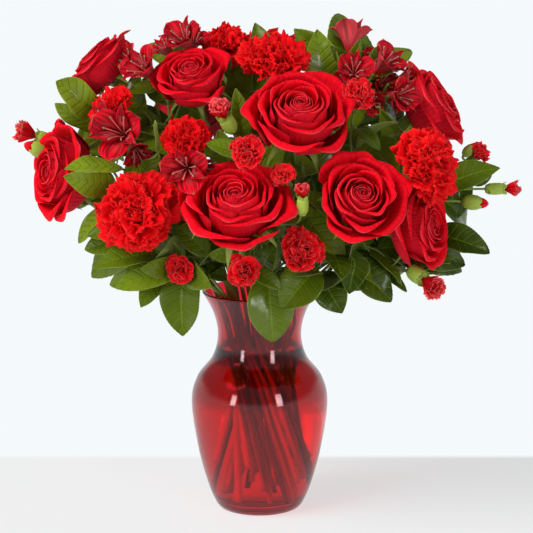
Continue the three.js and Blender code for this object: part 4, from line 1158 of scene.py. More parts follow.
def lily_flower(skin, bloom, rng):
    """Six petals, broad and narrow in turn, round six stamens."""
    for n in range(6):
        phi = math.radians(60 * n + rng.uniform(-6, 6))
        lily_petal(skin, bloom, phi, ("broad", "narrow")[n % 2], rng)
    for n in range(6):
        phi = math.radians(60 * n + 30 + rng.uniform(-10, 10))
        out = rng.uniform(0.24, 0.42)
        ends = [(0.05, 0.1), (0.1, 0.7), (out, 1.2), (out + 0.1, 1.34)]
        bends = [(math.cos(phi) * r, math.sin(phi) * r, z) for r, z in ends]
        path = bloom.place(spline(bends, np.linspace(0, 1, 9)) * bloom.radius)
        skin.tube(path, np.full(9, 0.45), 0.5, sides=6, mark=FILAMENT)
        way = unit(path[-1] - path[-3])
        head = path[-1] + np.outer(np.linspace(-1.3, 1.3, 5), way)
        skin.tube(head, np.array((0.25, 0.7, 0.85, 0.7, 0.25)), 0.5, sides=8, mark=ANTHER)


def build_lily(bloom, settings, seed):
    """One lily."""
    skin = Skin()
    lily_flower(skin, bloom, np.random.default_rng(seed))
    paint(skin, f"{bloom.name}_petals", "lily_petal", [bloom.name], settings)


def build_lily_mates(settings, seed):
    """The smaller lilies, each on a stalk that runs down into the bouquet."""
    rng = np.random.default_rng(seed)
    petals, stalks = Skin(), Skin()
    for at, face, radius, turn in LILY_MATES:
        mate = Bloom("lily", "mate", at, face, radius, turn, 0)
        lily_flower(petals, mate, rng)
        end = mate.seat - 0.3 * radius * mate.axis
        down = end + (0, 12, -30) - mate.axis * 12
        bends = mate.seat, end, down, down + (0, 6, -20)
        path = np.array([cubic(*bends, t) for t in np.linspace(0, 1, 12)])
        stalks.tube(path, np.full(12, 1.2), 0.5)
    paint(stalks, "lily_mate_stalks", "stem", [], settings)
    paint(petals, "lily_mate_petals", "lily_petal", [], settings)


# ---- Stems and what stands under the heads ----------------------------------------------------

# What stands under a head: a rose's round hip, a carnation's ribbed cup or a lily's small base. Its
# outline is in shares of the cup's width and depth. Then come the sides and ribs of its mesh, and
# its rings of sepals: how many, how far out and up they start in the same shares, their length,
# half their width, how far they bend and their share of the cup's tone.
CUPS = {
    "rose": (
        [(0.3, -1), (0.62, -0.8), (0.95, -0.45), (1, -0.15), (0.85, 0.12), (0.5, 0.25)],
        {"sides": 20},
        [(5, 0.8, 0, 0.62, 0.11, 1.9, 1)],
    ),
    "carnation": (
        [(0.3, -1), (0.75, -0.9), (0.92, -0.6), (1, -0.25), (1.04, 0), (0.98, 0.14), (0.6, 0.1)],
        {"sides": 30, "ribs": 10, "depth": 0.02},
        [(5, 0.95, 0.02, 0.34, 0.62, 0.5, 1), (4, 0.55, -0.95, 0.3, 0.5, 0.5, 1)],
    ),
    "bud": (
        [(0.3, -1), (0.7, -0.92), (0.96, -0.7), (1.04, -0.42), (1, -0.12), (0.9, 0.1), (0.6, 0.1)],
        {"sides": 24, "ribs": 5, "depth": 0.02},
        [(5, 0.86, 0.02, 0.3, 0.55, 0.25, 1), (4, 0.6, -0.95, 0.32, 0.5, 0.7, 0.6)],
    ),
    "lily": (
        [(0.4, -1.5), (1.6, -1), (2.1, 1), (1.9, 3.2), (1.2, 4.4)],
        {"sides": 12, "ribs": 3, "depth": 0.06},
        [],
    ),
}
CUPS["spray"] = CUPS["carnation"]
# The outlines of a closed side bud, in shares of its radius.
CALYX = ((0.2, -1.5), (0.6, -1.4), (0.9, -0.9), (1, -0.3), (0.92, 0.4), (0.66, 0.95), (0.4, 1.1))
RED_TIP = ((0.3, 0.6), (0.6, 0.8), (0.56, 1.2), (0.36, 1.6), (0.12, 1.85))


def sepals(skin, place, count, start, length, half, bend, tone):
    """Narrow pointed leaves round the top of a cup, bent out by an angle at their tips."""
    u = np.linspace(-1, 1, 5)[None, :]
    v = np.linspace(0, 1, 8)[:, None]
    angle = bend * v
    r = start[0] + length * v * np.sin(angle) + 0.15 * length * v
    z = start[1] + length * v * np.cos(angle)
    wide = half * (1 - v) ** 0.7 * (1 + 0.4 * np.sin(math.pi * v))
    for n in range(count):
        phi = (n + 0.3) / count * 2 * math.pi
        grid = on_ways(phi, r - 0.2 * np.abs(u) * wide, u * wide, z + 0 * u)
        skin.sheet(in_place(place, grid), THICK["sepal"], u, 0.5 + 0 * v, tone)


def cup_under(skin, bloom, tone):
    """The hip, cup or base under a head, with its sepals."""
    profile, ribs, rings = CUPS[bloom.kind]
    width, deep = (bloom.cup[0] * bloom.radius + 1, bloom.cup[1]) if bloom.cup else (1, 1)
    # A rose's sepals grow with the head, and those of the others with the cup.
    long, broad = (bloom.radius, bloom.radius) if bloom.kind == "rose" else (deep, width)
    if bloom.kind == "bud":
        tone = 1
    skin.turned([(r * width, z * deep) for r, z in profile], bloom.place, tone, **ribs)
    for count, out, up, length, half, bend, share in rings:
        start = out * width, up * deep
        place = bloom.place
        sepals(skin, place, count, start, length * long, half * broad, bend, tone * share)


def stem_tube(skin, foot, points, radius, end, tone, mark=0.0):
    """A stem along its points, straight down to its cut end if it has one, tapered to a share."""
    path = list(points)
    if foot is not None:
        path = [foot, (2 * foot + points[0]) / 3, (foot + 2 * points[0]) / 3, *path]
    count = 8 * (len(path) - 1) + 1
    smooth = spline(path, np.linspace(0, 1, count))
    skin.tube(smooth, np.linspace(radius, radius * end, count), tone, mark=mark)


def build_stems(name, settings, seed):
    """One gathering of stems, or a branched stem, with what stands under its heads."""
    rng = np.random.default_rng(seed)
    skin = Skin()
    for foot, points, radius, bloom in stem_runs[name]:
        tone = rng.uniform(0, 0.4)
        stem_tube(skin, foot, points, radius, 0.85, tone)
        if bloom:
            cup_under(skin, bloom, tone)
    paint(skin, f"{name}_green", "stem", [name], settings)


def build_side_buds(settings):
    """Closed buds, green with a red tip, on short stalks from the nearest stem."""
    green, red = Skin(), Skin()
    runs = [points for run in stem_runs.values() for _, points, _, _ in run]
    places = np.vstack([spline(points, np.linspace(0.2, 0.98, 15)) for points in runs])
    for at, way, radius in SIDE_BUDS:
        at = np.array(at, float)
        turn = Vector((0, 0, 1)).rotation_difference(Vector(way).normalized())
        turn = np.array(turn.to_matrix())

        def place(points, at=at, turn=turn):
            return points @ turn.T + at

        sized = [[(r * radius, z * radius) for r, z in profile] for profile in (CALYX, RED_TIP)]
        green.turned(sized[0], place, 1, sides=20, ribs=5, depth=0.05)
        red.turned(sized[1], place, 0.5, sides=20, ribs=4, depth=0.22)
        foot = place(np.array([[0, 0, -1.4 * radius]]))[0]
        # A stem that is higher than the bud counts as 40 mm further off.
        far = np.linalg.norm(places - foot, axis=1) + 40 * (places[:, 2] > foot[2])
        start = places[far.argmin()]
        bend = foot - turn[:, 2] * 0.4 * np.linalg.norm(foot - start)
        bends = start, (start + 2 * bend) / 3, bend, foot
        stalk = np.array([cubic(*bends, t) for t in np.linspace(0, 1, 12)])
        green.tube(stalk, np.full(12, 1.1), 0.5)
    paint(red, "side_bud_tips", "bud_petal", [], settings)
    paint(green, "side_bud_cups", "stem", [], settings)


# ---- Leaves -----------------------------------------------------------------------------------

STALK = 2  # what a leaf's stalk and its branch are marked with, in place of the underside
# Painted light: how pale a leaf is made, as if lit more to the left and higher up: in the middle
# of the bouquet, with each millimetre to the left and each one above a height, and how far it may
# differ from that at random.
PAINTED_LIGHT = {"middle": 0.4, "left": 0.0028, "up": 0.003, "height": 290, "vary": 0.3}
SIDE_VEINS = 6.5


def leaf_blade(skin, net, settings, rng, palest=1.0, detail=LEAF_DETAIL):
    """A finely toothed, veined blade and its stalk, along the net that its leaf follows."""
    centre, left, right = net[1:, 1], net[1:, 0] - net[1:, 1], net[1:, 2] - net[1:, 1]
    stalk = spline([net[0, 1], net[1, 1]], np.linspace(0, 1, 5))
    x, _, z = centre[0]
    # Painted light: a leaf to the left or higher up is paler, up to palest, with a random
    # difference.
    lit = PAINTED_LIGHT["middle"] - PAINTED_LIGHT["left"] * x + PAINTED_LIGHT["up"] * (z - PAINTED_LIGHT["height"])
    tone = min(palest, max(0, lit + rng.uniform(-PAINTED_LIGHT["vary"], PAINTED_LIGHT["vary"])))
    rows, columns = detail
    shares = np.linspace(0, 1, rows)
    # The net's rows stand at uneven shares of the blade, which its outline follows.
    stops = np.append(0, [row[0] for row in LEAF_ROWS])
    place = np.interp(shares, stops, np.linspace(0, 1, len(stops)))
    middle = spline(centre, place)
    sides = [spline(side, place) for side in (left, right)]
    swell, narrow = rng.uniform(0.5, 0.66), rng.uniform(0.72, 0.92)
    peak = swell / (swell + narrow)
    wide = shares**swell * (1 - shares) ** narrow / (peak**swell * (1 - peak) ** narrow)
    wide = np.maximum(wide, 0.02)
    most = max(np.linalg.norm(side, axis=1).max() for side in (left, right))
    u = np.linspace(-1, 1, columns)
    length = np.linalg.norm(centre[-1] - centre[0])
    phase = rng.uniform(0, 2 * math.pi, 2)
    grid = np.zeros((rows, columns, 3))
    for j, a in enumerate(u):
        side = sides[0] if a < 0 else sides[1]
        ways = side / (np.linalg.norm(side, axis=1, keepdims=True) + 1e-9)
        grid[:, j] = middle + ways * (abs(a) * wide * most)[:, None]
    normals = grid_normals(grid)
    v = shares[:, None]
    flank = np.abs(u)[None]
    veins = np.cos((v * SIDE_VEINS - flank * 1.2) * 2 * math.pi)
    quilt = 0.16 * flank**0.6 * (1 - flank) * veins * wide[:, None]
    groove = -0.3 * np.exp(-(u[None] ** 2) / 0.012) * wide[:, None]
    wavy = 0.035 * most * flank**2 * np.sin(4.2 * math.pi * v + phase[0] + 1.3 * np.sign(u)[None])
    bowed = 0.05 * most * np.sin(math.pi * v + phase[1]) * flank
    grid = grid + normals * (quilt + groove + wavy + bowed)[..., None]
    onward = np.gradient(middle, axis=0)
    onward /= np.linalg.norm(onward, axis=1, keepdims=True)
    toothed = slice(2, -1)
    tooth = (0.008 * length * (np.arange(rows) % 2))[toothed, None]
    for j in (0, columns - 1):
        outward = grid[toothed, j] - middle[toothed]
        grid[toothed, j] += onward[toothed] * tooth * 0.7 + outward * tooth / most * 0.5
    skin.sheet(grid, settings.leaf_thickness / MM, u[None], v, tone)
    third = rows // 3
    path = np.vstack((stalk, middle[:third] - normals[:third, columns // 2] * 0.4))
    skin.tube(path, np.linspace(1.15, 0.35, len(path)), tone, sides=8, mark=STALK)


def build_leaves(name, settings, seed):
    """One leafy branch."""
    rng = np.random.default_rng(seed)
    skin = Skin()
    foot, points, radius, _ = stem_runs[name][0]
    stem_tube(skin, foot, points, radius, 0.6, 0.5, STALK)
    for net in leaf_nets[name]:
        leaf_blade(skin, net, settings, rng)
    paint(skin, f"{name}_blades", "leaf", [name], settings)


def clear_of_heads(points, margin):
    """Whether every point is outside every head's flattened ball."""
    wider = 1.03  # than the head itself
    for head in blooms:
        offset = points - head.at
        high = offset @ head.axis
        out = np.linalg.norm(offset - np.outer(high, head.axis), axis=1)
        depth = np.hypot(high / (head.flat + margin), out / (wider * head.radius + margin))
        if (depth < 1).any():
            return False
    return True


def sprout(start, way, length, width, face):
    """The rows of three points of a leaf that leaves a stem, as leaf_net gives them."""
    across = unit(np.cross(way, face))
    up = unit(np.cross(across, way))
    knee = start + way * SPROUT["stalk"]
    rows = [(start, 1, 0), (knee, 1, 0)]
    for t, share, arch, rise in LEAF_ROWS:
        centre = knee + way * length * t + up * arch * length
        rows.append((centre, share * width / 2, rise * width))
    return np.array([net_row(*row, across, up) for row in rows])


def fits(net, taken, apart, margin):
    """Whether a leaf stays in the bouquet, off the vase, and clear of the heads and leaves."""
    blade = net[2:].reshape(-1, 3)
    low, high = (np.array(corner) / MM for corner in CAD_BOX)
    inside = (blade > low).all() and (blade < high).all() and blade[:, 2].min() > SPROUT["low"]
    if not inside or not clear_of_heads(blade, margin):
        return False
    middle = net[2:, None, 1]
    return all(np.linalg.norm(middle - other[None], axis=2).min() > apart for other in taken)


def leaf_over(gap, eased, places, rng):
    """A leaf that reaches over a gap, and its length, or nothing if no stem is near."""
    target = np.array(gap) + rng.normal(0, 1, 3) * COVER["aim"]
    far = np.linalg.norm(places - target, axis=1)
    least, most = COVER["start"]
    near = places[(far > least) & (far < most * eased)]
    if not len(near):
        return None, 0
    start = near[rng.integers(len(near))]
    length = rng.uniform(1.3, 1.6) * np.linalg.norm(target - start) - SPROUT["stalk"]
    length = max(length, SPROUT["length"][0])
    face = unit(np.array((0.003 * target[0], -1, 0.5)) + rng.normal(0, 0.3, 3))
    way = unit(target - start)
    return sprout(start, way, length, length * rng.uniform(0.4, 0.55), face), length


def leaf_anywhere(places, rng):
    """A leaf that sprouts outward from any stem, and how far out of the bouquet's ball it gets."""
    heart, reach = np.array(SPROUT["heart"]), np.array(SPROUT["reach"])
    start = places[rng.integers(len(places))]
    out = unit(start - heart)
    way = unit(out + rng.normal(0, 0.55, 3) + np.array((0, 0, rng.uniform(-0.2, 0.5))))
    length = rng.uniform(*SPROUT["length"])
    face = unit(out + np.array((0, -0.5, 0.6)) + rng.normal(0, 0.4, 3))
    net = sprout(start, way, length, length * rng.uniform(0.42, 0.58), face)
    return net, np.linalg.norm((net[2:] - heart) / reach, axis=2).max()


def build_inner_leaves(settings):
    """Leaves that sprout from the stems and fill the depths between the heads."""
    rng = np.random.default_rng(SPROUT["seed"])
    skin = Skin()
    runs = [run for runs in stem_runs.values() for run in runs]
    places = np.vstack([spline(points, np.linspace(0.15, 0.95, 9)) for _, points, _, _ in runs])
    places = places[places[:, 2] > SPROUT["low"]]
    taken = [net[2:, 1] for nets in leaf_nets.values() for net in nets]

    def grow(net, palest):
        taken.append(net[2:, 1])
        leaf_blade(skin, net, settings, rng, palest, INNER_DETAIL)

    for gap in GAPS:
        for attempt in range(COVER["tries"]):
            eased = 1 if attempt < COVER["eased_after"] * COVER["tries"] else COVER["eased"]
            net, length = leaf_over(gap, eased, places, rng)
            if net is None or length >= COVER["longest"] * eased:
                continue
            if fits(net, taken, COVER["apart"] / eased, COVER["clear"]):
                grow(net, COVER["palest"])
                break
    grown = 0
    for _ in range(SPROUT["tries"]):
        net, reach = leaf_anywhere(places, rng)
        if reach < 1 and fits(net, taken, SPROUT["apart"], SPROUT["clear"]):
            grow(net, SPROUT["palest"])
            grown += 1
        if grown == settings.inner_leaves:
            break
    paint(skin, "inner_leaves", "leaf", [], settings)


# ---- Vase and water ---------------------------------------------------------------------------

RINGS = 90  # of the vase's outline, finer than the frame's
SUNK = 0.35  # how far the water reaches into the glass, so that no air shows between them


def turned_piece(profile, sides, *piece):
    """A piece turned from [radius, height] pairs round the vase's axis, flat at both ends."""
    skin = Skin()
    skin.turned(profile, lambda points: points, 0.5, sides=sides)
    skin.piece(*piece)


def bowl(reach):
    """The rounded bottom of the vase's inside, out to where it meets the wall."""
    floor = VASE["floor"]
    return [(12, floor), (reach - 8, floor + 0.6), (reach - 2.5, floor + 2.6)]


def inner_wall(inset, top):
    """The inside of the vase from its rounded bottom up to a height."""
    bottom = VASE["floor"] + 6
    return [(r - inset, z) for r, z in vase_outline(RINGS) if bottom < z < top]


def build_vase(settings):
    """The vase, from its foot up the outside, over the lip and down the inside."""
    wall, height, foot = VASE["wall"], VASE["height"], VASE["foot"]
    outside = [tuple(p) for p in vase_outline(RINGS)]
    inside = inner_wall(wall, height - 1)
    turns = np.linspace(0, math.pi, 9)
    rim = VASE["rim"] - wall / 2
    lip = [(rim + wall / 2 * math.cos(t), height + 1.2 * math.sin(t)) for t in turns]
    base = [(foot - 12, 1.4), (foot - 6, 0.7), (foot - 2.5, 0), (foot, 0), (foot + 3, 1.2)]
    profile = base + outside[1:-1] + lip + inside[::-1] + bowl(inside[0][0])[::-1]
    glass = red_glass(settings.glass_red)
    turned_piece(profile, 144, "vase_glass", glass, ["vase"], "red_glass")


def build_water():
    """The water, from the bottom of the vase up to its surface."""
    side = inner_wall(VASE["wall"] - SUNK, WATER_LEVEL)
    reach = side[-1][0]
    # The water climbs a little where it meets the glass.
    surface = [(reach, 1.2), (reach - 1.5, 0.2), (reach - 4, -0.2)]
    profile = [(r, z - SUNK) for r, z in bowl(side[0][0])] + side
    profile += [(r, WATER_LEVEL + z) for r, z in surface]
    turned_piece(profile, 96, "vase_water", clear_water(), ["water"], "water")


# ---- Shader maths -----------------------------------------------------------------------------


class Value:
    """A shader socket that takes part in Python expressions, which add Math nodes."""

    def __init__(self, nodes, socket):
        self.nodes = nodes
        self.socket = socket

    def math(self, operation, *others):
        """A Math node on the values given."""
        return self.nodes.node("ShaderNodeMath", {"operation": operation}, dict(enumerate(others)))

    def __add__(self, other):
        return self.math("ADD", self, other)

    def __sub__(self, other):
        return self.math("SUBTRACT", self, other)

    def __rsub__(self, other):
        return self.math("SUBTRACT", other, self)

    def __mul__(self, other):
        return self.math("MULTIPLY", self, other)

    def __truediv__(self, other):
        return self.math("DIVIDE", self, other)

    def __pow__(self, other):
        return self.math("POWER", self, other)

    def __abs__(self):
        return self.math("ABSOLUTE", self)

    __radd__ = __add__
    __rmul__ = __mul__

    def wave(self):
        return self.math("COSINE", self)

    def within(self, low, high, least=0.0, most=1.0):
        """The least below low, the most above high and smooth in between."""
        inputs = {"Value": self, "From Min": low, "From Max": high, "To Min": least, "To Max": most}
        return self.nodes.node("ShaderNodeMapRange", {"interpolation_type": "SMOOTHSTEP"}, inputs)


class Nodes:
    """The nodes of a material or of the world."""

    def __init__(self, owner):
        owner.use_nodes = True
        self.tree = owner.node_tree

    def node(self, kind, settings=None, inputs=None, output=0):
        """Adds a node: its settings first, then its inputs' values or links."""
        made = self.tree.nodes.new(kind)
        for key, value in (settings or {}).items():
            setattr(made, key, value)
        for key, value in (inputs or {}).items():
            self.feed(made.inputs[key], value)
        return Value(self, made.outputs[output])

    def feed(self, socket, value):
        if isinstance(value, Value):
            self.tree.links.new(value.socket, socket)
        else:
            socket.default_value = value

    def axis(self, output, number):
        """One part of the place that a coordinate node gives, such as 2 for the height."""
        place = self.node("ShaderNodeTexCoord", output=output)
        return self.node("ShaderNodeSeparateXYZ", None, {0: place}, number)


class Shader(Nodes):
    """A material with a Principled shader, and the nodes that feed it."""

    def __init__(self, name, **constants):
        self.material = bpy.data.materials.new(name)
        super().__init__(self.material)
        self.surface = self.tree.nodes["Principled BSDF"]
        self.set(**constants)

    def set(self, **inputs):
        for socket, value in inputs.items():
            self.feed(self.surface.inputs[socket.replace("_", " ")], value)

    def blend(self, share, other):
        """Shows the Principled shader where share is 0 and another shader where it is 1."""
        own = Value(self, self.surface.outputs[0])
        mixed = self.node("ShaderNodeMixShader", None, {0: share, 1: own, 2: other})
        self.feed(self.tree.nodes["Material Output"].inputs["Surface"], mixed)

    def mix(self, share, first, second):
        """A mix of two colours, given as links or as red, green and blue."""
        first, second = (c if isinstance(c, Value) else (*c[:3], 1) for c in (first, second))
        return self.node("ShaderNodeMix", {"data_type": "RGBA"}, {0: share, 6: first, 7: second}, 2)

    def mark(self):
        """What the skin's points carry: across, along, tone and underside."""
        colour = self.node("ShaderNodeAttribute", {"attribute_name": "mark"}, output="Color")
        split = self.node("ShaderNodeSeparateColor", None, {0: colour}).socket.node
        values = [Value(self, split.outputs[n]) for n in range(3)]
        return [*values, Value(self, colour.socket.node.outputs["Alpha"])]

    def noise(self, scale, detail, at=None):
        at = at or self.node("ShaderNodeTexCoord", output="Object")
        inputs = {"Vector": at, "Scale": scale, "Detail": detail}
        return self.node("ShaderNodeTexNoise", None, inputs)

    def streaks(self, detail, across, along, tone):
        """Noise drawn out over a petal or a stem, and different on each."""
        at = self.node("ShaderNodeCombineXYZ", None, {0: across, 1: along, 2: tone})
        return self.noise(1, detail, at)

    def bump(self, height, distance, strength):
        inputs = {"Height": height, "Distance": distance, "Strength": strength}
        self.set(Normal=self.node("ShaderNodeBump", None, inputs))


def shaded(colour, *light):
    """A colour made lighter or darker by a factor, or by one for each of its three parts."""
    factors = light if len(light) == 3 else light * 3
    return tuple(min(1, part * factor) for part, factor in zip(colour[:3], factors))


# ---- Finishes ---------------------------------------------------------------------------------

# How the petals of each kind look: how dark the painted shade makes them at the root, the colour
# of the paler rim with its painted highlight and where it starts, how much that rim and the paler
# back show, and the number of fine veins over a petal.
PETAL_LOOKS = {
    "rose_petal": {
        "deep": 0.3, "edge": (0.98, 0.2, 0.24), "from": 0.97, "share": 0.42, "back": 0.5,
        "veins": 46,
    },
    "carnation_petal": {
        "deep": 0.3, "edge": (0.98, 0.06, 0.03), "from": 0.9, "share": 0.35, "back": 0.15,
        "veins": 60,
    },
    "spray_petal": {
        "deep": 0.25, "edge": (0.97, 0.3, 0.26), "from": 0.93, "share": 0.3, "back": 0.15,
        "veins": 40,
    },
    "bud_petal": {
        "deep": 0.5, "edge": (0.95, 0.3, 0.3), "from": 0.8, "share": 0.5, "back": 0.15,
        "veins": 30,
    },
}


def petal_finish(name, colour):
    """Velvety petals: painted shade at the root, a paler rim with a painted highlight, finely
    veined.
    """
    look = PETAL_LOOKS[name]
    shader = Shader(name, Roughness=0.6, Specular_IOR_Level=0.05)
    across, along, tone, under = shader.mark()
    patches = shader.noise(70, 3)
    grain = shader.noise(1500, 2)
    body = shader.mix(tone * 0.7 + patches * 0.4, shaded(colour, 0.8), shaded(colour, 1.25))
    # Painted shade: the petal darkens towards its root, deep inside the head.
    body = shader.mix(1 - along.within(0.1, 0.7), body, shaded(colour, look["deep"]))
    streaks = shader.streaks(2, across * look["veins"] / 3, along * 1.6, tone * 40)
    body = shader.mix(streaks.within(0.35, 0.8) * 0.4, body, shaded(colour, 0.5))
    # A paler rim with a painted highlight along the petal's edge.
    edge = along.within(look["from"], 1.0) * (0.3 + 0.9 * streaks) * look["share"]
    body = shader.mix(edge, body, look["edge"])
    back = (colour[0] * 0.85 + 0.03, colour[1] + 0.016, colour[2] + 0.03)
    body = shader.mix((1 - under) * look["back"], body, back)
    shader.set(Base_Color=body, Roughness=0.5 + 0.25 * grain)
    veins = (across * look["veins"] + streaks * 5).wave() * along.within(0.1, 0.5)
    shader.bump(0.8 * veins + 0.5 * grain + 2 * streaks, 0.0005, 0.5)


def lily_finish(name, colour):
    """Silky petals with dark streaks on the narrow ones, pale filaments and grey-green anthers."""
    dark_dash, pale_back, dark_midline = (0.06, 0.004, 0.01), (0.8, 0.12, 0.14), (0.16, 0.02, 0.02)
    pale_middle, green_tip, throat = (0.85, 0.25, 0.25), (0.3, 0.22, 0.05), (0.3, 0.05, 0.02)
    filament, anther = (0.8, 0.2, 0.18), (0.3, 0.24, 0.14)
    shader = Shader(name, Roughness=0.4, Specular_IOR_Level=0.12)
    across, along, tone, part = shader.mark()
    petal = 1 - part.within(1.4, 1.6)
    flank = abs(across)
    streaks = shader.streaks(1, across * 7, along * 2.2, tone * 30)
    body = shader.mix(streaks.within(0.35, 0.65), shaded(colour, 0.38), shaded(colour, 1.05))
    pale = (1 - flank) ** 3 * along.within(0.15, 0.4) * (1 - along.within(0.6, 0.85))
    narrow = tone.within(0.5, 0.6)
    body = shader.mix(pale * (0.15 + 0.45 * narrow), body, pale_middle)
    dashes = shader.streaks(0, across * 16, along * 7, tone * 50).within(0.56, 0.6)
    dashes = dashes * along.within(0.2, 0.35) * (1 - along.within(0.8, 0.95)) * narrow
    body = shader.mix(dashes, body, dark_dash)
    back = (1 - part.within(0.4, 0.6)) * along.within(0.15, 0.5)
    body = shader.mix(back * 0.4, body, pale_back)
    body = shader.mix(back * (1 - flank.within(0.02, 0.3)) * 0.6, body, dark_midline)
    tip = along.within(0.93, 1.0) * (1 - flank.within(0.1, 0.5))
    body = shader.mix(tip * 0.7, body, green_tip)
    body = shader.mix(1 - along.within(0.0, 0.3), body, throat)
    body = shader.mix(petal, shader.mix(part.within(2.4, 2.6), filament, anther), body)
    shader.set(Base_Color=body, Roughness=0.34 + 0.2 * streaks)
    shader.bump((across * 30 + streaks * 4).wave() * petal, 0.0002, 0.4)


def leaf_finish(name, colour):
    """Glossy leaves with painted light: paler midrib and side veins, duller olive undersides."""
    shader = Shader(name, Coat_Roughness=0.16, Specular_IOR_Level=0.1)
    across, along, tone, part = shader.mark()
    stalk = part.within(1.4, 1.6)
    under = part.within(0.4, 0.6) * (1 - stalk)
    flank = abs(across)
    patches = shader.noise(45, 3)
    cells = shader.noise(900, 2)
    # Painted light: the tone, mostly from where the leaf sits, picks a shaded or a lit copy of the
    # green.
    body = shader.mix(tone, shaded(colour, 0.45), shaded(colour, 5, 3, 4))
    body = shader.mix(patches.within(0.3, 0.75) * 0.5, body, shaded(colour, 2.2, 1.5, 1))
    body = shader.mix(cells.within(0.35, 0.65) * 0.2, body, shaded(colour, 0.5))
    bent = (along * 7 - flank * 1.1 + patches * 0.25) * (2 * math.pi)
    side_veins = ((bent.wave() * 0.5 + 0.5) ** 14) * (1 - flank.within(0.82, 1.0))
    midrib = 1 - flank.within(0.015, 0.055)
    vein = (colour[0] * 2.6 + 0.05, colour[1] * 1.9 + 0.05, colour[2] * 2)
    edge, olive, stalk_green = (0.36, 0.4, 0.08), (0.2, 0.26, 0.07), (0.16, 0.2, 0.05)
    body = shader.mix(side_veins * 0.32 + midrib * 0.6, body, vein)
    body = shader.mix(flank.within(0.96, 1.0) * 0.6, body, edge)
    body = shader.mix(under * 0.75, body, olive)
    body = shader.mix(stalk, body, stalk_green)
    shader.set(Base_Color=body, Roughness=0.32 + 0.15 * cells + 0.2 * under)
    shader.set(Coat_Weight=patches.within(0.4, 0.65) * 0.6 * (1 - under))
    relief = 0.4 * cells - side_veins * (1 - under) * 1.5 + 1.5 * patches
    shader.bump(relief, 0.0006, 0.7)


def stem_finish(name, colour):
    """Stems and cups: fresh green with long fibres, redder in places, and brown in the water."""
    red_patch, peeled_brown = (0.2, 0.07, 0.03), (0.72, 0.45, 0.22)
    shader = Shader(name, Roughness=0.45, Specular_IOR_Level=0.45)
    across, along, tone, _ = shader.mark()
    fibres = shader.streaks(2, across * 26, along * 5, tone * 20)
    patches = shader.noise(60, 3)
    body = shader.mix(tone, shaded(colour, 0.7), shaded(colour, 2.6, 2.1, 1.6))
    body = shader.mix(fibres.within(0.35, 0.75) * 0.5, body, shaded(colour, 1.9, 1.5, 1.6))
    body = shader.mix(patches.within(0.62, 0.8) * 0.4, body, red_patch)
    peeled = 1 - (shader.axis("Object", 2) / MM).within(120, 170)
    body = shader.mix(peeled * (0.45 + 0.5 * fibres), body, peeled_brown)
    shader.set(Base_Color=body, Roughness=0.38 + 0.2 * fibres)
    shader.bump(fibres + 0.5 * patches, 0.0003, 0.5)


# What each finish is made by, and the setting that holds its colour.
FINISHES = {
    "rose_petal": (petal_finish, "rose_red"),
    "carnation_petal": (petal_finish, "carnation_red"),
    "spray_petal": (petal_finish, "spray_red"),
    "bud_petal": (petal_finish, "spray_red"),
    "lily_petal": (lily_finish, "lily_red"),
    "leaf": (leaf_finish, "leaf_green"),
    "stem": (stem_finish, "stem_green"),
}


def paint(skin, name, finish, nodes, settings):
    """Makes a skin a piece in one of the finishes, which is made when it is first asked for."""
    make, slot = FINISHES[finish]
    if finish not in bpy.data.materials:
        make(finish, getattr(settings, slot))
    skin.piece(name, bpy.data.materials[finish], nodes, slot)


def clear_stuff(name, tint, shadow, **look):
    """See-through stuff that bends what is behind it and lets the lamps' light through."""
    tint, shadow = (*tint, 1), (*shadow, 1)
    shader = Shader(name, Base_Color=tint, Transmission_Weight=1.0, Roughness=0.0, **look)
    rays = shader.node("ShaderNodeLightPath", output="Is Shadow Ray")
    shader.blend(rays, shader.node("ShaderNodeBsdfTransparent", None, {"Color": shadow}))
    return shader


def red_glass(colour):
    """Red glass, deeper where it is seen aslant, with a painted dark reflection below the neck."""
    passed = tuple(math.sqrt(part) for part in colour)
    shader = clear_stuff("red_glass", colour, passed, IOR=1.48, Specular_IOR_Level=0.28)
    height = shader.axis("Object", 2) / MM
    # Painted reflection: the glass is darker from about 106-122 mm up to 150-158 mm high, as if it
    # mirrored the dark underside of the bouquet.
    swirl = shader.noise(18, 2) * 14
    painted_reflection = (height + swirl).within(106, 122) * (1 - height.within(150, 158))
    slant = shader.node("ShaderNodeLayerWeight", None, {"Blend": 0.35}, "Facing")
    share = painted_reflection * 0.8 + slant * 1.9 - 0.25
    shader.set(Base_Color=shader.mix(share, colour, shaded(colour, 0.4, 0.2, 0.2)))
    return shader.material


def clear_water():
    """Water, all but colourless."""
    tint, shadow = (0.98, 0.99, 0.99), (0.99, 1, 1)
    return clear_stuff("clear_water", tint, shadow, IOR=1.33, Specular_IOR_Level=0.5).material


# ---- Stage ------------------------------------------------------------------------------------

CAMERA = {"place": (0.0064, -1.5, 0.510), "pitch": 10.73, "lens": 112.9, "sensor": 36}
BACKDROP = (0.913, 0.948, 0.973)
TABLE = (0.86, 0.865, 0.87)
TABLE_GLOW = 0.68
# Where the table's colour gives way to the backdrop's behind the vase: its start and its end.
TABLE_END = (0.137, 0.153)
FLOOR_REACH = 60
# The room is bright round the horizon and dimmer overhead, where the daylight comes from.
HORIZON = {"low": 0.08, "high": 0.3, "least": 1.0, "most": 0.27}
SUN = {"power": 2.5, "width": 34, "way": (0.85, 0.5, -1.0)}
LAMPS = {"window": (-1.15, -1.15, 0.55), "door": (0.78, -1.15, 0.55)}
LAMP = {"aim": (0, 0, 0.14), "size": (0.26, 0.6), "power": 0.42, "spread": 50}


def stand(name, data, place, way):
    """Adds an object that looks or shines along a way."""
    made = bpy.data.objects.new(name, data)
    made.location = place
    made.rotation_euler = Vector(way).to_track_quat("-Z", "Y").to_euler()
    bpy.context.scene.collection.objects.link(made)
    return made


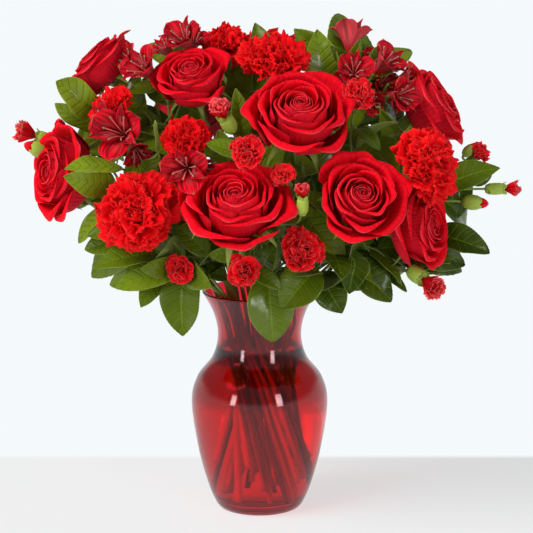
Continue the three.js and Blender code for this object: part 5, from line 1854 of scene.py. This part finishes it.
def build_camera():
    """The camera, at the photograph's angle."""
    camera = bpy.data.cameras.new("camera")
    camera.lens = CAMERA["lens"]
    camera.sensor_width = CAMERA["sensor"]
    camera.clip_end = 100
    eye = bpy.data.objects.new("camera", camera)
    eye.location = CAMERA["place"]
    eye.rotation_euler = (math.radians(90 - CAMERA["pitch"]), 0, 0)
    bpy.context.scene.collection.objects.link(eye)
    bpy.context.scene.camera = eye


def build_room():
    """The light that comes from all round."""
    world = bpy.context.scene.world or bpy.data.worlds.new("world")
    bpy.context.scene.world = world
    room = Nodes(world)
    light = room.tree.nodes["Background"].inputs
    room.feed(light["Strength"], room.axis("Generated", 2).within(*HORIZON.values()))
    room.feed(light["Color"], (*BACKDROP, 1))


def build_floor():
    """A wide floor whose table colour gives way to the backdrop's behind the vase."""
    mesh = bpy.data.meshes.new("floor")
    ways = (-1, -1), (1, -1), (1, 1), (-1, 1)
    corners = [(x * FLOOR_REACH, y * FLOOR_REACH, 0) for x, y in ways]
    mesh.from_pydata(corners, [], [(0, 1, 2, 3)])
    floor = bpy.data.objects.new("floor", mesh)
    bpy.context.scene.collection.objects.link(floor)
    shader = Shader("pale_floor", Roughness=0.7, Specular_IOR_Level=0.1)
    shader.set(Base_Color=(0.3, 0.3, 0.3, 1))
    shader.set(Emission_Color=(*TABLE, 1), Emission_Strength=TABLE_GLOW)
    depth = shader.axis("Object", 1)
    glow = shader.node("ShaderNodeEmission", None, {"Color": (*BACKDROP, 1)})
    shader.blend(depth.within(*TABLE_END), glow)
    mesh.materials.append(shader.material)


def build_lights():
    """Soft daylight, and two lamps that show as windows in the glass."""
    sun = bpy.data.lights.new("daylight", "SUN")
    sun.energy = SUN["power"]
    sun.angle = math.radians(SUN["width"])
    # Its wide disc would leave a ring on the glass.
    stand("daylight", sun, (0, 0, 0), SUN["way"]).visible_glossy = False
    for name, place in LAMPS.items():
        light = bpy.data.lights.new(name, "AREA")
        light.shape = "RECTANGLE"
        light.size, light.size_y = LAMP["size"]
        light.energy = LAMP["power"]
        light.spread = math.radians(LAMP["spread"])
        stand(name, light, place, Vector(LAMP["aim"]) - Vector(place))


def build_stage():
    """Everything but the bouquet."""
    bpy.context.scene.view_settings.view_transform = "Standard"
    build_camera()
    build_room()
    build_floor()
    build_lights()


# ---- Settings, operators and panel ------------------------------------------------------------


def colour_setting(name, description, default):
    """A colour that a user may change."""
    return FloatVectorProperty(
        name=name, description=description, default=default, subtype="COLOR", size=3, min=0, max=1
    )


class BouquetSettings(bpy.types.PropertyGroup):
    """Sizes and colours of the bouquet that a user would change."""

    rose_petals: IntProperty(
        name="Rose petals", description="Petals on each rose", default=30, min=12
    )
    inner_leaves: IntProperty(
        name="Inner leaves",
        description="Leaves that fill the depths between the heads",
        default=190,
        min=0,
    )
    leaf_thickness: FloatProperty(
        name="Leaf thickness", description="Thickness of a leaf", default=0.0006, unit="LENGTH"
    )
    rose_red: colour_setting("Rose red", "Colour of the roses", (0.79, 0.004, 0.014))
    carnation_red: colour_setting("Carnation red", "Colour of carnations", (0.88, 0.004, 0.01))
    spray_red: colour_setting("Spray red", "Colour of small carnations", (0.84, 0.006, 0.012))
    lily_red: colour_setting("Lily red", "Colour of the lilies", (0.74, 0.005, 0.018))
    stem_green: colour_setting("Stem green", "Colour of stems and cups", (0.13, 0.22, 0.03))
    leaf_green: colour_setting("Leaf green", "Colour of leaves from above", (0.046, 0.105, 0.003))
    glass_red: colour_setting("Glass red", "Colour that the glass passes", (0.78, 0.015, 0.042))


def build_heads(kinds, build, settings):
    """Builds every head of some kinds, each with a seed of its own."""
    for seed, bloom in enumerate(blooms):
        if bloom.kind in kinds:
            build(bloom, settings, seed)


class BuildStage(bpy.types.Operator):
    """Set up the camera, the floor and the soft studio light"""

    bl_idname = "bouquet.stage"
    bl_label = "Build Stage"

    def execute(self, context):
        build_stage()
        return {"FINISHED"}


class BuildVase(bpy.types.Operator):
    """Turn the red glass vase"""

    bl_idname = "bouquet.vase"
    bl_label = "Build Vase"

    def execute(self, context):
        build_vase(context.scene.bouquet)
        return {"FINISHED"}


class BuildWater(bpy.types.Operator):
    """Fill the vase with water"""

    bl_idname = "bouquet.water"
    bl_label = "Build Water"

    def execute(self, context):
        build_water()
        return {"FINISHED"}


class BuildRoses(bpy.types.Operator):
    """Build every rose, petal by petal"""

    bl_idname = "bouquet.roses"
    bl_label = "Build Roses"

    def execute(self, context):
        build_heads(("rose",), build_rose, context.scene.bouquet)
        return {"FINISHED"}


class BuildCarnations(bpy.types.Operator):
    """Build every carnation and spray carnation, petal by petal"""

    bl_idname = "bouquet.carnations"
    bl_label = "Build Carnations"

    def execute(self, context):
        build_heads(FORMS, build_frilled, context.scene.bouquet)
        return {"FINISHED"}


class BuildLilies(bpy.types.Operator):
    """Build every lily with its stamens"""

    bl_idname = "bouquet.lilies"
    bl_label = "Build Lilies"

    def execute(self, context):
        build_heads(("lily",), build_lily, context.scene.bouquet)
        build_lily_mates(context.scene.bouquet, SEEDS["lily mates"])
        return {"FINISHED"}


class BuildStems(bpy.types.Operator):
    """Build the stems with the cups under the heads"""

    bl_idname = "bouquet.stems"
    bl_label = "Build Stems"

    def execute(self, context):
        for n, name in enumerate(name for name in stem_runs if name not in leaf_nets):
            build_stems(name, context.scene.bouquet, SEEDS["stems"] + n)
        build_side_buds(context.scene.bouquet)
        return {"FINISHED"}


class BuildLeaves(bpy.types.Operator):
    """Build the leafy branches and the leaves that sprout between the heads"""

    bl_idname = "bouquet.leaves"
    bl_label = "Build Leaves"

    def execute(self, context):
        for n, name in enumerate(leaf_nets):
            build_leaves(name, context.scene.bouquet, SEEDS["leaves"] + n)
        build_inner_leaves(context.scene.bouquet)
        return {"FINISHED"}


OPERATORS = (
    BuildStage,
    BuildVase,
    BuildWater,
    BuildStems,
    BuildLeaves,
    BuildRoses,
    BuildCarnations,
    BuildLilies,
)


class BouquetPanel(bpy.types.Panel):
    """Lists the steps that build the bouquet, and its settings"""

    bl_idname = "VIEW3D_PT_bouquet"
    bl_label = "Bouquet"
    bl_space_type = "VIEW_3D"
    bl_region_type = "UI"
    bl_category = "Bouquet"

    def draw(self, context):
        for name in BouquetSettings.__annotations__:
            self.layout.prop(context.scene.bouquet, name)
        for operator in OPERATORS:
            self.layout.operator(operator.bl_idname)


CLASSES = (BouquetSettings, *OPERATORS, BouquetPanel)


def register():
    for cls in CLASSES:
        bpy.utils.register_class(cls)
    bpy.types.Scene.bouquet = PointerProperty(type=BouquetSettings)


def unregister():
    del bpy.types.Scene.bouquet
    for cls in reversed(CLASSES):
        bpy.utils.unregister_class(cls)


def main():
    """Runs every step."""
    register()
    for operator in OPERATORS:
        group, name = operator.bl_idname.split(".")
        getattr(getattr(bpy.ops, group), name)()


if __name__ == "__main__":
    main()
